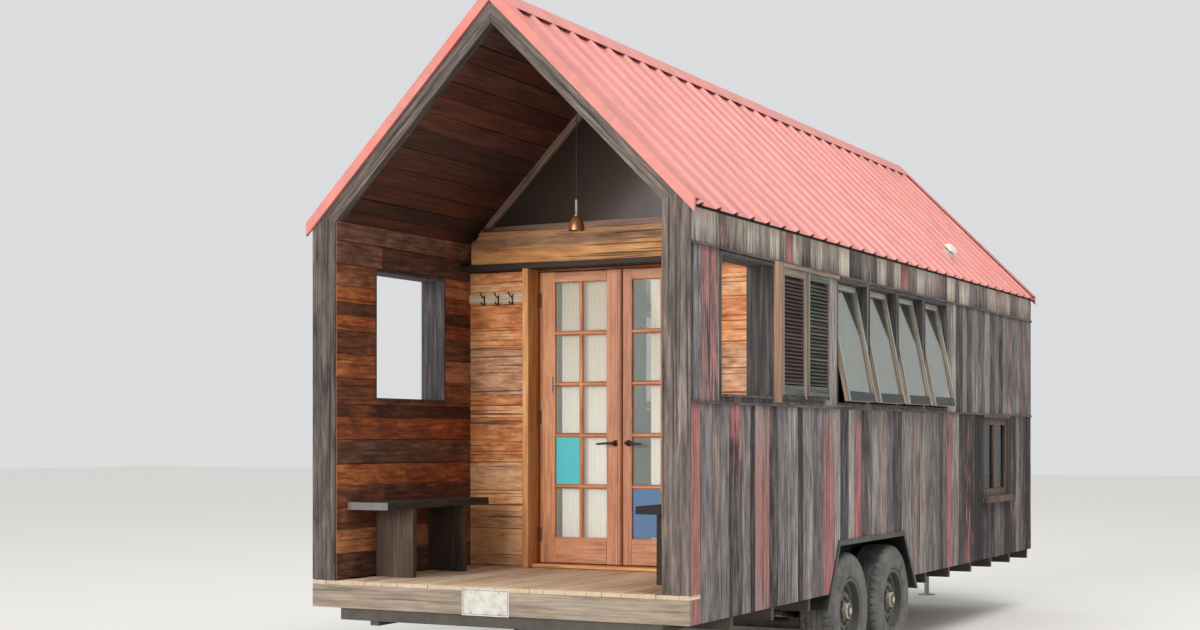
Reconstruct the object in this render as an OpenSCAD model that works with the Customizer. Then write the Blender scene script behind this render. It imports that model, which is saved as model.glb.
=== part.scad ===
// Tiny house on wheels: a gabled timber cabin with an open porch, built on a two-axle trailer.
// Millimetres. +Z is up, +Y runs from the porch to the hitch and +X is on the right of the porch.
// The origin is on the ground, below the middle of the whole length.

/* [House] */
// Width over the wall boards
house_w = 2440; // [2300:10:2550]
// Length from the porch face to the end boards
house_l = 7400; // [7200:10:8200]
// Height of the porch deck above the ground
deck_z = 690; // [660:5:720]
// Depth of the timber floor and rim beam
rim_h = 160; // [140:5:180]
// Depth of the open porch
porch_d = 1510; // [1450:10:1600]
// Thickness of a framed wall without its outer boards
wall_t = 140; // [110:5:160]
// Thickness of the outer boards
board_t = 20; // [14:1:28]
// Height of the underside of the gable rafters at the ridge
gable_z = 3848; // [3800:1:3900]

/* [Roof] */
// Slope of the roof in degrees
pitch = 45; // [44:0.5:46]
// Depth of the gable rafters, square to the slope
rafter_d = 115; // [100:5:130]
// Height of the ceiling above the rafter's lower edge, square to the slope
ceiling_up = 17; // [10:1:30]
// Spacing of the ribs in the roof sheet
rib_pitch = 238; // [200:1:300]
// Height of a rib
rib_h = 19; // [12:1:25]
// How far the roof sheet runs past the wall boards
eave_over = 35; // [20:1:60]
// Width of the red trim on the gable edge, square to the slope
trim_w = 55; // [45:1:70]

/* [Windows] */
// Number of top-hung windows in the row
awning_count = 4; // [2:1:4]
// Distance from one top-hung window to the next
awning_pitch = 630; // [620:1:660]
// Width of one top-hung sash
awning_w = 550; // [500:1:560]
// Height of one top-hung sash
awning_h = 780; // [700:1:780]
// How far the sashes stand open, in degrees
awning_open = 11; // [9:0.5:12]
// Number of louvre slats in a shutter
slat_count = 28; // [15:1:30]
// Width of the low window
low_w = 760; // [600:10:800]
// Height of the low window
low_h = 620; // [500:10:640]

/* [Doors] */
// Width of one door leaf
leaf_w = 593; // [560:1:600]
// Height of a door leaf
leaf_h = 1871; // [1800:1:1875]
// Thickness of a door leaf
leaf_t = 40; // [35:1:45]
// Sideways place of the line where the leaves meet
door_x = 67; // [0:1:80]
// Gap between the two leaves
leaf_gap = 6; // [5:1:10]

/* [Porch] */
// Width of a porch post
post_w = 140; // [120:5:150]
// Depth of the timber beam over the doors
beam_h = 247; // [200:1:260]
// Length of a bench seat
bench_l = 1140; // [1000:10:1150]
// Height of a bench above the deck
bench_h = 455; // [400:5:480]
// Width of a bench seat
bench_w = 286; // [240:1:300]
// Length of the pendant lamp's flex
flex_l = 835; // [600:5:1000]

/* [Trailer] */
// Outer radius of a tyre
tyre_r = 385; // [380:1:390]
// Width of a tyre
tyre_w = 235; // [215:5:245]
// Place of the axle nearer the porch, measured from the porch face
axle_y = 2607; // [2600:1:2620]
// Distance between the two axles
axle_gap = 906; // [880:1:910]
// Height of the wheel box top above the ground
fender_z = 864; // [850:1:900]
// Length of the drawbar beyond the end wall
tongue_l = 1230; // [1100:10:1400]

/* [Hidden] */
$fn = 48;

// The origin is halfway along the total length, which runs from the gable trim to the coupler
trim_out = 20;
hitch_y = house_l + tongue_l;
porch_y = trim_out - (trim_out + hitch_y) / 2;

half_w = house_w / 2;
core_x = half_w - board_t;
room_x = core_x - wall_t;
eave_x = half_w + eave_over;
rim_z = deck_z - rim_h;
rim_t = 40;
slab_z = deck_z - 25;
end_y = house_l - board_t;
end_in = end_y - wall_t;
rafter_t = 60;

// Layers of the roof, each measured square to the slope from the rafters' lower edge
sheet_t = 3;
cap_low = rafter_d + sheet_t + rib_h + 0.3;
cap_top = cap_low + sheet_t;
trim_low = cap_top - trim_w;
cap_reach = 150;

// Openings in a side wall, each as [first y, last y, first z, last z]
band_low = deck_z + 1018;
band_top = deck_z + 1843;
lining_t = 15;
lining_proud = 8;
porch_hole = [420, 1180, deck_z + 1076, band_top];
shutter_low = deck_z + 1090;
shutter_holes = [for (y = [[1312, 1692], [1742, 2126]]) [y[0], y[1], shutter_low, band_top]];
awning_y = 2302;
awning_holes = [
    for (i = [0:awning_count - 1])
        [awning_y + i * awning_pitch, awning_y + i * awning_pitch + awning_w + 10, deck_z + 1060, band_top]
];
low_y = 5815;
low_top = deck_z + 985;
low_hole = [low_y, low_y + low_w, low_top - low_h, low_top];
side_holes = concat([porch_hole, low_hole], shutter_holes, awning_holes);

// The wheel box seen from the side, as [y, z]
fender_low = rim_z - 100;
fender_side = [[2098, fender_low], [2320, fender_z], [3690, fender_z], [4006, fender_low]];
fender_t = 6;
fender_in = half_w - 290;
fender_face = 36;
fender_out = half_w - 6;

// Doors
leaf_z = deck_z + 30;
door_top = leaf_z + leaf_h;
door_half = leaf_gap / 2 + leaf_w;
// Width of a leaf's stile at the hinges, and of the left and the right one where the leaves meet
stile_w = 112;
meeting_w = [110, 65];
bottom_rail = 165;
top_rail = 66;
jamb_in = door_half + 5;
jamb_out = jamb_in + 24;
reveal_in = door_half + 11;
post_out = reveal_in + 43;
head_z = door_top + 25;
door_wall_t = 110;
pin_x = door_half + 3.5;
pin_out = 7.5;
knuckle_r = 6;
knuckle_h = 30;
knuckle_low = knuckle_h / 2 + 0.3;
hinge_zs = [leaf_z + 180, leaf_z + leaf_h / 2, leaf_z + leaf_h - 180];
handle_z = leaf_z + 770;
handle_x = 46;
curtain_y = porch_d + leaf_t + 17;
curtain_rod_z = door_top - 36;

// Benches: their inner edge, the right one's gap to the door wall and the left one's start
bench_x = room_x - bench_w - 19;
bench_gap = 70;
bench_start = 100;

// Timber over the doors: a plate from wall to wall and a shorter beam on it
beam_y = porch_d - 140;
plate_t = 36;
beam_half = room_x - 95;
beam_top_p = ceiling_up - 96;
beam_z = door_top + 19;
gable_low = beam_z + beam_h;
gable_bar = 50;

// Lamp on the porch ridge
lamp_y = 1020;
rose_r = 40;
rose_z = gable_z + ceiling_up * sqrt(2) - 60;
socket_z = rose_z - flex_l;
flex_r = 3;
flex_route = [for (i = [0:15]) [0, lamp_y, rose_z - flex_l * i / 15]];

// Licence plate on the rim beam
plate_w = 305;
plate_x = -34.5;
plate_z = rim_z - 4;

// Roof vent
vent_s = 1325;
vent_y = 5415;
vent_r = 48;
hood_r = vent_r + 14;

// Running gear
rail_x = half_w - 400;
rail_w = 60;
rear_beam_x = rail_x + 225;
rail_z = rim_z - 100;
axle_z = tyre_r - 100;
axle_ys = [axle_y, axle_y + axle_gap];
wheel_x = core_x - 115;
drop_x = wheel_x - 180;
spindle_r = 30;
bore_r = 30.05;
spring_half = 330;
spring_r = 2200;
spring_steps = 5;
spring_step = asin(spring_half / spring_r) / spring_steps;
leaf_gauge = 8;
pad_z = axle_z + 46;
spring_z = pad_z + 3.5 * leaf_gauge;
eye_z = spring_z + spring_r - sqrt(spring_r * spring_r - spring_half * spring_half);
jack_y = hitch_y - 380;
ball_r = 29.6;

// Height of the roof plane p above the rafters' lower edge, at a distance x from the ridge
function under(x, p) = gable_z + p / cos(pitch) - abs(x) * tan(pitch);

// Distance from the ridge where that plane reaches the height z
function reach(z, p) = (gable_z + p / cos(pitch) - z) / tan(pitch);

// Outline between the height z0 and the plane p, no wider than x each way and no higher than z1
function below_plane(p, x, z0, z1) = let (side = min(under(x, p), z1), top = min(under(0, p), z1)) concat(
    [[-x, z0], [x, z0]],
    side > z0 + 0.01 ? [[x, side]] : [],
    side < z1 ? (top < z1 - 0.01 ? [[0, top]] : [[reach(z1, p), z1], [-reach(z1, p), z1]]) : [],
    side > z0 + 0.01 ? [[-x, side]] : []
);

// Outer end of the mitre between a rafter and its post
mitre = (90 - pitch) / 2;
mitre_end = [room_x, under(room_x, 0)] + rafter_d / cos(mitre) * [cos(mitre), sin(mitre)];

function backwards(points) = [for (i = [len(points) - 1:-1:0]) points[i]];
function flipped(points) = [for (p = backwards(points)) [p[0], -p[1]]];
function edge_y(a, b, z) = a[0] + (b[0] - a[0]) * (z - a[1]) / (b[1] - a[1]);
function slant(a, b) = norm(b - a) / abs(b[1] - a[1]);

// Outline of the wheel box moved in by t
function fender_inset(t) = let (
    a = fender_side[0],
    b = fender_side[1],
    c = fender_side[2],
    d = fender_side[3],
    z = fender_z - t
) [
    [a[0] + t * slant(a, b), a[1]],
    [edge_y(a, b, z) + t * slant(a, b), z],
    [edge_y(d, c, z) - t * slant(c, d), z],
    [d[0] - t * slant(c, d), d[1]]
];

module from_porch() translate([0, porch_y, 0]) children();

module slab(low, high) translate(low) cube(high - low);

// Draws an outline of the cross-section (x, z) along the house, from y0 to y1
module along(y0, y1) translate([0, y1, 0]) rotate([90, 0, 0]) linear_extrude(y1 - y0) children();

// Draws an outline of the side view (y, z) across the house, from x0 to x1
module across(x0, x1) translate([x0, 0, 0]) rotate([90, 0, 90]) linear_extrude(x1 - x0) children();

// Turns x to run down the right slope and z to stand square to it
module on_slope() translate([0, 0, gable_z]) rotate([0, pitch, 0]) children();

module both_sides() {
    children();
    mirror([1, 0, 0]) children();
}

module left_side() mirror([1, 0, 0]) children();

module rod_x(x0, x1, y, z, r) translate([x0, y, z]) rotate([0, 90, 0]) cylinder(h = x1 - x0, r = r);

module rod_y(x, y0, y1, z, r) translate([x, y1, z]) rotate([90, 0, 0]) cylinder(h = y1 - y0, r = r);

// Space of one side opening, widened by grow
module hole_space(o, grow)
    slab([room_x - 20, o[0] - grow, o[2] - grow], [half_w + 20, o[1] + grow, o[3] + grow]);

module side_cuts() {
    for (o = side_holes) hole_space(o, lining_t);
    across(fender_in, half_w + 20) polygon(fender_side);
}

// A flat frame around an opening, between x0 and x1
module ring(o, x0, x1, side, low, high) difference() {
    slab([x0, o[0], o[2]], [x1, o[1], o[3]]);
    slab([x0 - 1, o[0] + side, o[2] + low], [x1 + 1, o[1] - side, o[3] - high]);
}

// Rails, cross-members with outriggers, rear beam and the A-shaped drawbar
module trailer_frame() color("#1b1b1d") from_porch() {
    both_sides() slab([rail_x - rail_w / 2, 60, rail_z], [rail_x + rail_w / 2, end_y, rim_z]);
    slab([-rear_beam_x, rim_t, rim_z - 72], [rear_beam_x, rim_t + 60, rim_z]);
    for (y = [610:610:house_l - 80]) {
        beside_wheels = y > fender_side[0][0] - 60 && y < fender_side[3][0] + 60;
        x = beside_wheels ? rail_x : core_x;
        slab([-x, y - 20, rail_z + 20], [x, y + 20, rim_z]);
    }
    both_sides() drawbar_leg();
}

module drawbar_leg() translate([0, 0, rail_z]) linear_extrude(rim_z - rail_z) polygon([
    [rail_x - rail_w / 2, house_l - 900],
    [rail_x + rail_w / 2, house_l - 900],
    [75, hitch_y - 130],
    [15, hitch_y - 130]
]);

// Ball coupler with a socket that opens downwards
module coupler() color("#2a2b2e") from_porch() difference() {
    union() {
        translate([0, 0, rail_z + 10]) linear_extrude(85) polygon([
            [-75, hitch_y - 130], [75, hitch_y - 130], [44, hitch_y - 50], [-44, hitch_y - 50]
        ]);
        translate([0, hitch_y - 48, rail_z + 10]) cylinder(h = 85, r = 48);
        slab([-12, hitch_y - 125, rail_z + 95], [12, hitch_y - 40, rail_z + 112]);
    }
    translate([0, hitch_y - 48, rail_z + 40]) sphere(r = ball_r);
    translate([0, hitch_y - 48, rail_z]) cylinder(h = 40, r = ball_r + 1.5);
}

// Screw jack that stands on the ground under the drawbar
module tongue_jack() color("#8d9094") from_porch() translate([0, jack_y, 0]) {
    cylinder(h = 10, r = 80);
    cylinder(h = 240, r = 23);
    translate([0, 0, 200]) cylinder(h = 690, r = 29);
    slab([-150, -60, rim_z], [150, 60, rim_z + 10]);
    slab([-38, -38, 885], [38, 38, 960]);
    rod_x(30, 150, 0, 925, 9);
    rod_x(142, 158, 0, 925, 14);
    translate([150, 0, 925]) cylinder(h = 90, r = 9);
}

// Axle tubes that drop below the hubs, with spring pads and spindles
module axles() color("#232325") from_porch() for (y = axle_ys) {
    rod_x(-drop_x, drop_x, y, axle_z, 38);
    both_sides() {
        slab([drop_x - 25, y - 42, axle_z - 42], [drop_x, y + 42, tyre_r + 42]);
        slab([rail_x - 35, y - 45, axle_z], [rail_x + 35, y + 45, pad_z]);
        rod_x(drop_x - 5, wheel_x + 35, y, tyre_r, spindle_r);
    }
}

// Points of a spring arc, n steps either side of the middle at y
function spring_arc(y, r, n) = [
    for (i = [-n:n]) [y + r * sin(i * spring_step), spring_z + spring_r - r * cos(i * spring_step)]
];

// Four leaves, each a step shorter at both ends than the one above, and the eyes of the top one
module spring_pack(y) {
    for (i = [0:3]) {
        r = spring_r + i * leaf_gauge;
        n = spring_steps - i;
        low = spring_arc(y, r + leaf_gauge / 2, n);
        high = spring_arc(y, r - leaf_gauge / 2, n);
        across(rail_x - 30, rail_x + 30) polygon(concat(low, backwards(high)));
    }
    for (s = [-1, 1]) rod_x(rail_x - 30, rail_x + 30, y + s * spring_half, eye_z, 16);
}

// Two cheek plates either side of a spring eye, with a bolt through them
module cheeks(outline, y, z) {
    for (x = [rail_x - 36, rail_x + 30]) across(x, x + 6) polygon(outline);
    rod_x(rail_x - 42, rail_x + 42, y, z, 8);
}

module leaf_springs() color("#262628") from_porch() both_sides() {
    first = axle_ys[0] - spring_half;
    last = axle_ys[1] + spring_half;
    middle = (axle_ys[0] + axle_ys[1]) / 2;
    half_bar = axle_gap / 2 - spring_half;
    for (y = axle_ys) spring_pack(y);
    for (y = [first, last]) cheeks([
        [y - 25, eye_z - 22], [y + 25, eye_z - 22], [y + 30, rail_z + 20], [y - 30, rail_z + 20]
    ], y, eye_z);
    for (s = [-1, 1]) rod_x(rail_x - 42, rail_x + 42, middle + s * half_bar, eye_z, 8);
    cheeks([
        [middle - half_bar - 18, eye_z - 16], [middle + half_bar + 18, eye_z - 16],
        [middle + half_bar + 18, eye_z + 16], [middle + 25, rail_z + 20],
        [middle - 25, rail_z + 20], [middle - half_bar - 18, eye_z + 16]
    ], middle, eye_z + 20);
}

// Steel wheel boxes let into the floor and the side walls: the slopes and the top
module fenders() color("#101012") from_porch() both_sides() difference() {
    across(fender_in, fender_out) polygon(fender_side);
    across(fender_in - 1, half_w + 1) polygon(fender_inset(fender_t));
}

// Flat sides of the wheel boxes: a rim a little proud of the boards, and a plate towards the room
module fender_rims() color("#101012") from_porch() both_sides() {
    difference() {
        across(fender_out, half_w + 4) polygon(fender_side);
        across(fender_out - 1, half_w + 5) polygon(fender_inset(fender_face));
    }
    intersection() {
        across(fender_in, fender_in + fender_t) polygon(fender_inset(fender_t));
        slab([fender_in - 1, 2000, rim_z], [fender_in + 20, 4100, fender_z + 1]);
    }
}

// Places a wheel or tyre drawn about its own centre, with its outer face along +z
module at_hub(side, y)
    from_porch() translate([side * wheel_x, y, tyre_r]) rotate([0, side * 90, 0]) children();

// Steel wheel with a dished disc, slots, hub, cap, nuts and brake drum
module wheel() {
    rim = [
        [196, -106], [215, -106], [215, -99], [203, -92], [203, -20], [184, -6], [184, 46],
        [203, 58], [203, 92], [215, 99], [215, 106], [196, 106], [196, 62], [176, 50], [176, -10], [196, -24]
    ];
    disc = [
        [55, 62], [95, 72], [128, 68], [150, 48], [180, 40],
        [180, 30], [146, 38], [124, 58], [95, 62], [55, 50]
    ];
    difference() {
        union() {
            rotate_extrude() polygon(rim);
            rotate_extrude() polygon(disc);
            translate([0, 0, -145]) cylinder(h = 217, r = 62);
            translate([0, 0, -145]) cylinder(h = 45, r = 140);
            translate([0, 0, 72]) cylinder(h = 30, r = 52);
            translate([0, 0, 102]) cylinder(h = 12, r1 = 52, r2 = 34);
            for (a = [0:45:315]) rotate(a) translate([84, 0, 62]) cylinder(h = 24, r = 12, $fn = 6);
        }
        translate([0, 0, -146]) cylinder(h = 186, r = bore_r);
        for (a = [22.5:45:360]) rotate(a) translate([132, 0, 0]) {
            for (s = [-1, 1]) translate([0, s * 14, 0]) cylinder(h = 90, r = 12);
            translate([-12, -14, 0]) cube([24, 28, 90]);
        }
    }
}

module tyre() {
    t = tyre_w / 2;
    outer = [
        [203, t - 20], [216.5, t - 20], [228, t - 4], [270, t],
        [325, t], [362, t - 12], [378, t - 26], [tyre_r, t - 42]
    ];
    inner = [[368, t - 50], [352, t - 28], [320, t - 16], [260, t - 16], [222, t - 22], [203, t - 34]];
    rotate_extrude() polygon(concat(outer, flipped(outer), flipped(inner), inner));
}

module wheel_rear_right() color("#8a8c8e") at_hub(1, axle_ys[0]) wheel();
module wheel_front_right() color("#8a8c8e") at_hub(1, axle_ys[1]) wheel();
module wheel_rear_left() color("#8a8c8e") at_hub(-1, axle_ys[0]) wheel();
module wheel_front_left() color("#8a8c8e") at_hub(-1, axle_ys[1]) wheel();
module tyre_rear_right() color("#2c2b2a") at_hub(1, axle_ys[0]) tyre();
module tyre_front_right() color("#2c2b2a") at_hub(1, axle_ys[1]) tyre();
module tyre_rear_left() color("#2c2b2a") at_hub(-1, axle_ys[0]) tyre();
module tyre_front_left() color("#2c2b2a") at_hub(-1, axle_ys[1]) tyre();

// Insulated floor that the walls stand on, with the room's floor on top
module floor_platform() color("#a58a63") from_porch() difference() {
    union() {
        slab([-core_x, rim_t, rim_z], [core_x, end_y, slab_z]);
        slab([-room_x, porch_d, slab_z], [room_x, end_in, deck_z]);
    }
    both_sides() across(fender_in, half_w) polygon(fender_side);
}

module porch_deck() color("#b89b74") from_porch() {
    slab([-half_w, 0, slab_z], [half_w, board_t, deck_z]);
    slab([-core_x, 0, slab_z], [core_x, post_w, deck_z]);
    slab([-room_x, 0, slab_z], [room_x, porch_d, deck_z]);
}

module rim_beam() color("#8f8577") from_porch() {
    slab([-half_w, 0, rim_z], [half_w, board_t, slab_z]);
    slab([-core_x, 0, rim_z], [core_x, rim_t, slab_z]);
}

// Framed side wall, cut for the openings and the wheel box
module side_wall() difference() {
    along(post_w, end_y) polygon([
        [room_x, slab_z], [core_x, slab_z],
        [core_x, under(core_x, ceiling_up)], [room_x, under(room_x, ceiling_up)]
    ]);
    side_cuts();
}

// Outer boards of a side wall
module side_boards() difference() {
    along(board_t, end_y) polygon([
        [core_x, rim_z], [half_w, rim_z], [half_w, under(half_w, rafter_d)], [core_x, under(core_x, rafter_d)]
    ]);
    side_cuts();
}

module right_wall() color("#5d3a28") from_porch() side_wall();
module left_wall() color("#5d3a28") from_porch() left_side() side_wall();
module right_boards() color("#857f7a") from_porch() side_boards();
module left_boards() color("#857f7a") from_porch() left_side() side_boards();

module end_wall() color("#5d3a28") from_porch() along(end_in, end_y) polygon([
    [-room_x, slab_z], [room_x, slab_z], [room_x, under(room_x, ceiling_up)],
    [0, under(0, ceiling_up)], [-room_x, under(room_x, ceiling_up)]
]);

module end_boards() color("#857f7a") from_porch() along(end_y, house_l) polygon([
    [-half_w, rim_z], [half_w, rim_z], [half_w, under(half_w, rafter_d)],
    [0, under(0, rafter_d)], [-half_w, under(half_w, rafter_d)]
]);

module door_wall_left() color("#b9762f") from_porch()
    slab([-room_x, porch_d, deck_z], [door_x - jamb_out, porch_d + door_wall_t, head_z]);

module door_wall_right() color("#b9762f") from_porch()
    slab([door_x + jamb_out, porch_d, deck_z], [room_x, porch_d + door_wall_t, head_z]);

module door_wall_top() color("#b9762f") from_porch() along(porch_d, porch_d + door_wall_t)
    polygon(below_plane(ceiling_up, room_x, head_z, gable_low));

// Bent strips over the joints between the three rows of wall boards
module flashings() color("#3a3634") from_porch() for (z = [band_low, band_top + lining_t + 8]) {
    both_sides() slab([half_w, board_t, z], [half_w + 10, house_l - 2, z + 14]);
    slab([-half_w + 2, house_l, z], [half_w - 2, house_l + 10, z + 14]);
}

// Corner posts, mitred to the gable rafters and cut under the roof behind them
module porch_posts() color("#8b8380") from_porch() both_sides() {
    for (step = [[0, board_t, half_w], [board_t, rafter_t, core_x]]) along(step[0], step[1]) polygon([
        [room_x, deck_z], [step[2], deck_z], [step[2], under(step[2], rafter_d)],
        mitre_end, [room_x, under(room_x, 0)]
    ]);
    along(rafter_t, post_w) polygon([
        [room_x, deck_z], [core_x, deck_z], [core_x, under(core_x, ceiling_up)], [room_x, under(room_x, 0)]
    ]);
}

module gable_rafters() color("#8b8380") from_porch() both_sides() along(0, rafter_t) polygon([
    [0.5, under(0.5, 0)], [room_x, under(room_x, 0)], mitre_end, [0.5, under(0.5, rafter_d)]
]);

module header_beam() color("#b58a4c") from_porch() {
    slab([-room_x, beam_y, beam_z], [room_x, porch_d, beam_z + plate_t]);
    along(beam_y, porch_d) polygon(below_plane(beam_top_p, beam_half, beam_z + plate_t - 1, gable_low));
}

// Triangle over the door wall, held in by a margin from the ceiling, the walls and the beam
module gable_triangle(margin) {
    p = ceiling_up - margin;
    low = gable_low + margin;
    polygon(below_plane(p, min(room_x - margin, reach(low, p)), low, gable_z + ceiling_up * 2));
}

module gable_frame() color("#5f4630") from_porch() along(porch_d, porch_d + 60) difference() {
    gable_triangle(0);
    gable_triangle(gable_bar);
}

module gable_glass() color([0.2, 0.25, 0.25, 0.6]) from_porch()
    along(porch_d + 27, porch_d + 33) gable_triangle(gable_bar);

// Half of the roof: rafters, lining and sheathing as one sandwich
module roof_half() along(rafter_t, end_y) polygon([
    [0, under(0, ceiling_up)], [core_x, under(core_x, ceiling_up)],
    [core_x, under(core_x, rafter_d)], [0, under(0, rafter_d)]
]);

module roof_right() color("#6b3f2a") from_porch() roof_half();
module roof_left() color("#6b3f2a") from_porch() left_side() roof_half();

// One rib of the sheet as [y, height] points, w wide at the foot and v at the crown
function rib(y, w, v, base) = [[y - w, base], [y - v, base + rib_h], [y + v, base + rib_h], [y + w, base]];
rib_count = floor((house_l - 80) / rib_pitch) + 1;
function rib_row(w, v, base) = [for (i = [0:rib_count - 1]) each rib(60 + i * rib_pitch, w, v, base)];

// Ribbed steel sheet that follows the slope
module roof_sheet() on_slope() {
    top_s = -rafter_d * tan(pitch) + 15;
    low_s = eave_x / cos(pitch) - rafter_d * tan(pitch);
    top_line = concat([[0, sheet_t]], rib_row(32, 13, sheet_t), [[house_l, sheet_t]]);
    low_line = concat([[0, 0]], rib_row(30, 11, 0), [[house_l, 0]]);
    translate([0, 0, rafter_d]) across(top_s, low_s) polygon(concat(low_line, backwards(top_line)));
}

module roof_sheet_right() color("#b5574a") from_porch() roof_sheet();
module roof_sheet_left() color("#b5574a") from_porch() left_side() roof_sheet();

// Outline of a strip bent over the ridge between two roof planes, reaching x on each side
module folded_strip(x, low, high) polygon([
    [0, under(0, low)], [x, under(x, low)], [x, under(x, high)],
    [0, under(0, high)], [-x, under(x, high)], [-x, under(x, low)]
]);

module ridge_cap() color("#b5574a") from_porch() along(0, house_l)
    folded_strip(cap_reach * cos(pitch), cap_low, cap_top);

// Red trims that close the gable edges and lap over the sheet
module gable_trims() color("#b04a3e") from_porch() {
    for (y = [-trim_out, house_l]) along(y, y + trim_out) folded_strip(eave_x, trim_low, cap_top);
    for (y = [[0, 90], [house_l - 90, house_l]]) both_sides() difference() {
        along(y[0], y[1]) folded_strip(eave_x, cap_low, cap_top);
        slab([-eave_x, y[0] - 1, rim_z], [cap_reach * cos(pitch) + 2, y[1] + 1, gable_z + 400]);
    }
}

// White mushroom vent, square to the slope, on a flat between two ribs near the right eave
module roof_vent() color("#e8e6e0")
from_porch() on_slope() translate([vent_s, vent_y, rafter_d + sheet_t]) {
    dome = [for (a = [0:15:90]) [hood_r * sin(a), 48 + 42 * cos(a)]];
    lining = [for (a = [90:-15:0]) [(hood_r - 3) * sin(a), 48 + 38 * cos(a)]];
    cylinder(h = 3, r = hood_r);
    cylinder(h = 88, r = 10);
    rotate_extrude() polygon([[vent_r - 4, 2], [vent_r, 2], [vent_r, 38], [vent_r - 4, 38]]);
    rotate_extrude() polygon(concat(dome, lining));
}

// Places one sash with its hinge line at the origin and its face along +x
sash_in = 65;
module at_sash(o) translate([core_x - sash_in, o[0] + 5, o[3] - 5]) rotate([0, -awning_open, 0]) children();

// Sash frames, hung from two hinge blocks each
module awning_sashes() color("#1f4a4c") from_porch() both_sides() for (o = awning_holes) {
    at_sash(o) ring([0, awning_w, -awning_h, 0], -20, 15, 32, 62, 35);
    for (y = [o[0] + 70, o[1] - 130])
        slab([core_x - sash_in - 10, y, band_top - 12], [core_x - sash_in + 6, y + 60, band_top]);
}

module window_glass() color([0.55, 0.65, 0.65, 0.4]) from_porch() both_sides() {
    for (o = awning_holes) at_sash(o) slab([-4, 32, 62 - awning_h], [0, awning_w - 32, -35]);
    for (s = [0, 1]) slab(
        [core_x - 13, low_y + 45 + s * (low_w / 2 - 15), low_hole[2] + 45],
        [core_x - 9, low_y + low_w / 2 - 30 + s * (low_w / 2 - 15), low_hole[3] - 45]
    );
}

module low_windows() color("#6d5a48") from_porch() both_sides() {
    ring(low_hole, core_x - 30, core_x + 10, 45, 45, 45);
    middle = low_y + low_w / 2;
    slab([core_x - 30, middle - 30, low_hole[2]], [core_x + 10, middle + 30, low_hole[3]]);
    slab([half_w, low_y - 50, low_hole[2] - 65], [half_w + 45, low_y + low_w + 50, low_hole[2] - 15]);
    slab([half_w, low_y - 40, low_hole[3] + lining_t], [half_w + 14, low_y + low_w + 40, band_low]);
}

// Louvred shutters, each a frame with tilted slats, and the bar below them
module shutters() color("#4b2620") from_porch() both_sides() {
    for (o = shutter_holes) {
        first = o[2] + 100;
        step = (o[3] - 52 - first) / slat_count;
        ring(o, core_x, core_x + 32, 26, 90, 42);
        for (i = [0:slat_count - 1])
            translate([core_x + 14, o[0] + 24, first + (i + 0.5) * step]) rotate([0, 35, 0])
                slab([-20, 0, -3], [20, o[1] - o[0] - 48, 3]);
    }
    bar = [shutter_holes[0][0] - 100, shutter_holes[1][1] - 88];
    slab([half_w, bar[0], shutter_low - 40], [half_w + 8, bar[1], shutter_low - 24]);
}

module window_linings() color("#8d7f6a") from_porch() both_sides() for (o = side_holes)
    ring([o[0] - lining_t, o[1] + lining_t, o[2] - lining_t, o[3] + lining_t],
        room_x - (o == porch_hole ? lining_proud : 0), half_w + 2, lining_t, lining_t, lining_t);

// Doorway posts, jambs, head, stops, threshold and the frame's half of each hinge
module door_frame() color("#a9652f") from_porch() {
    for (s = [-1, 1]) translate([door_x, 0, 0]) scale_x(s) {
        slab([jamb_in, porch_d, deck_z], [jamb_out, porch_d + door_wall_t, head_z]);
        slab([reveal_in, beam_y + 2, deck_z], [post_out, porch_d, beam_z]);
        slab([jamb_in - 14, porch_d + leaf_t + 5, deck_z], [jamb_in, porch_d + leaf_t + 20, head_z]);
        for (z = hinge_zs) {
            translate([pin_x, porch_d - pin_out, z - knuckle_h / 2]) cylinder(h = knuckle_h, r = knuckle_r);
            slab([pin_x, porch_d - 3.5, z - knuckle_h / 2], [reveal_in, porch_d, z + knuckle_h / 2]);
        }
    }
    slab([door_x - jamb_in, porch_d, door_top + 5], [door_x + jamb_in, porch_d + door_wall_t, head_z]);
    translate([door_x, 0, 0])
        slab([-reveal_in, porch_d - 90, deck_z], [reveal_in, porch_d + door_wall_t, deck_z + 23]);
}

module scale_x(s) mirror([s < 0 ? 1 : 0, 0, 0]) children();

// Draws a leaf's piece with x measured from the line where the leaves meet
module on_leaf(s) from_porch() translate([door_x, 0, 0]) scale_x(s) children();

leaf_in = leaf_gap / 2;
leaf_low = leaf_z + bottom_rail;
leaf_high = door_top - top_rail;
function leaf_xs(meeting) = [leaf_in + meeting, door_half - stile_w];

module leaf(xs) difference() {
    slab([leaf_in, porch_d, leaf_z], [door_half, porch_d + leaf_t, door_top]);
    slab([xs[0], porch_d - 1, leaf_low], [xs[1], porch_d + leaf_t + 1, leaf_high]);
}

module leaf_glass(xs) slab([xs[0], porch_d + 17, leaf_low], [xs[1], porch_d + 23, leaf_high]);

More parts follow.
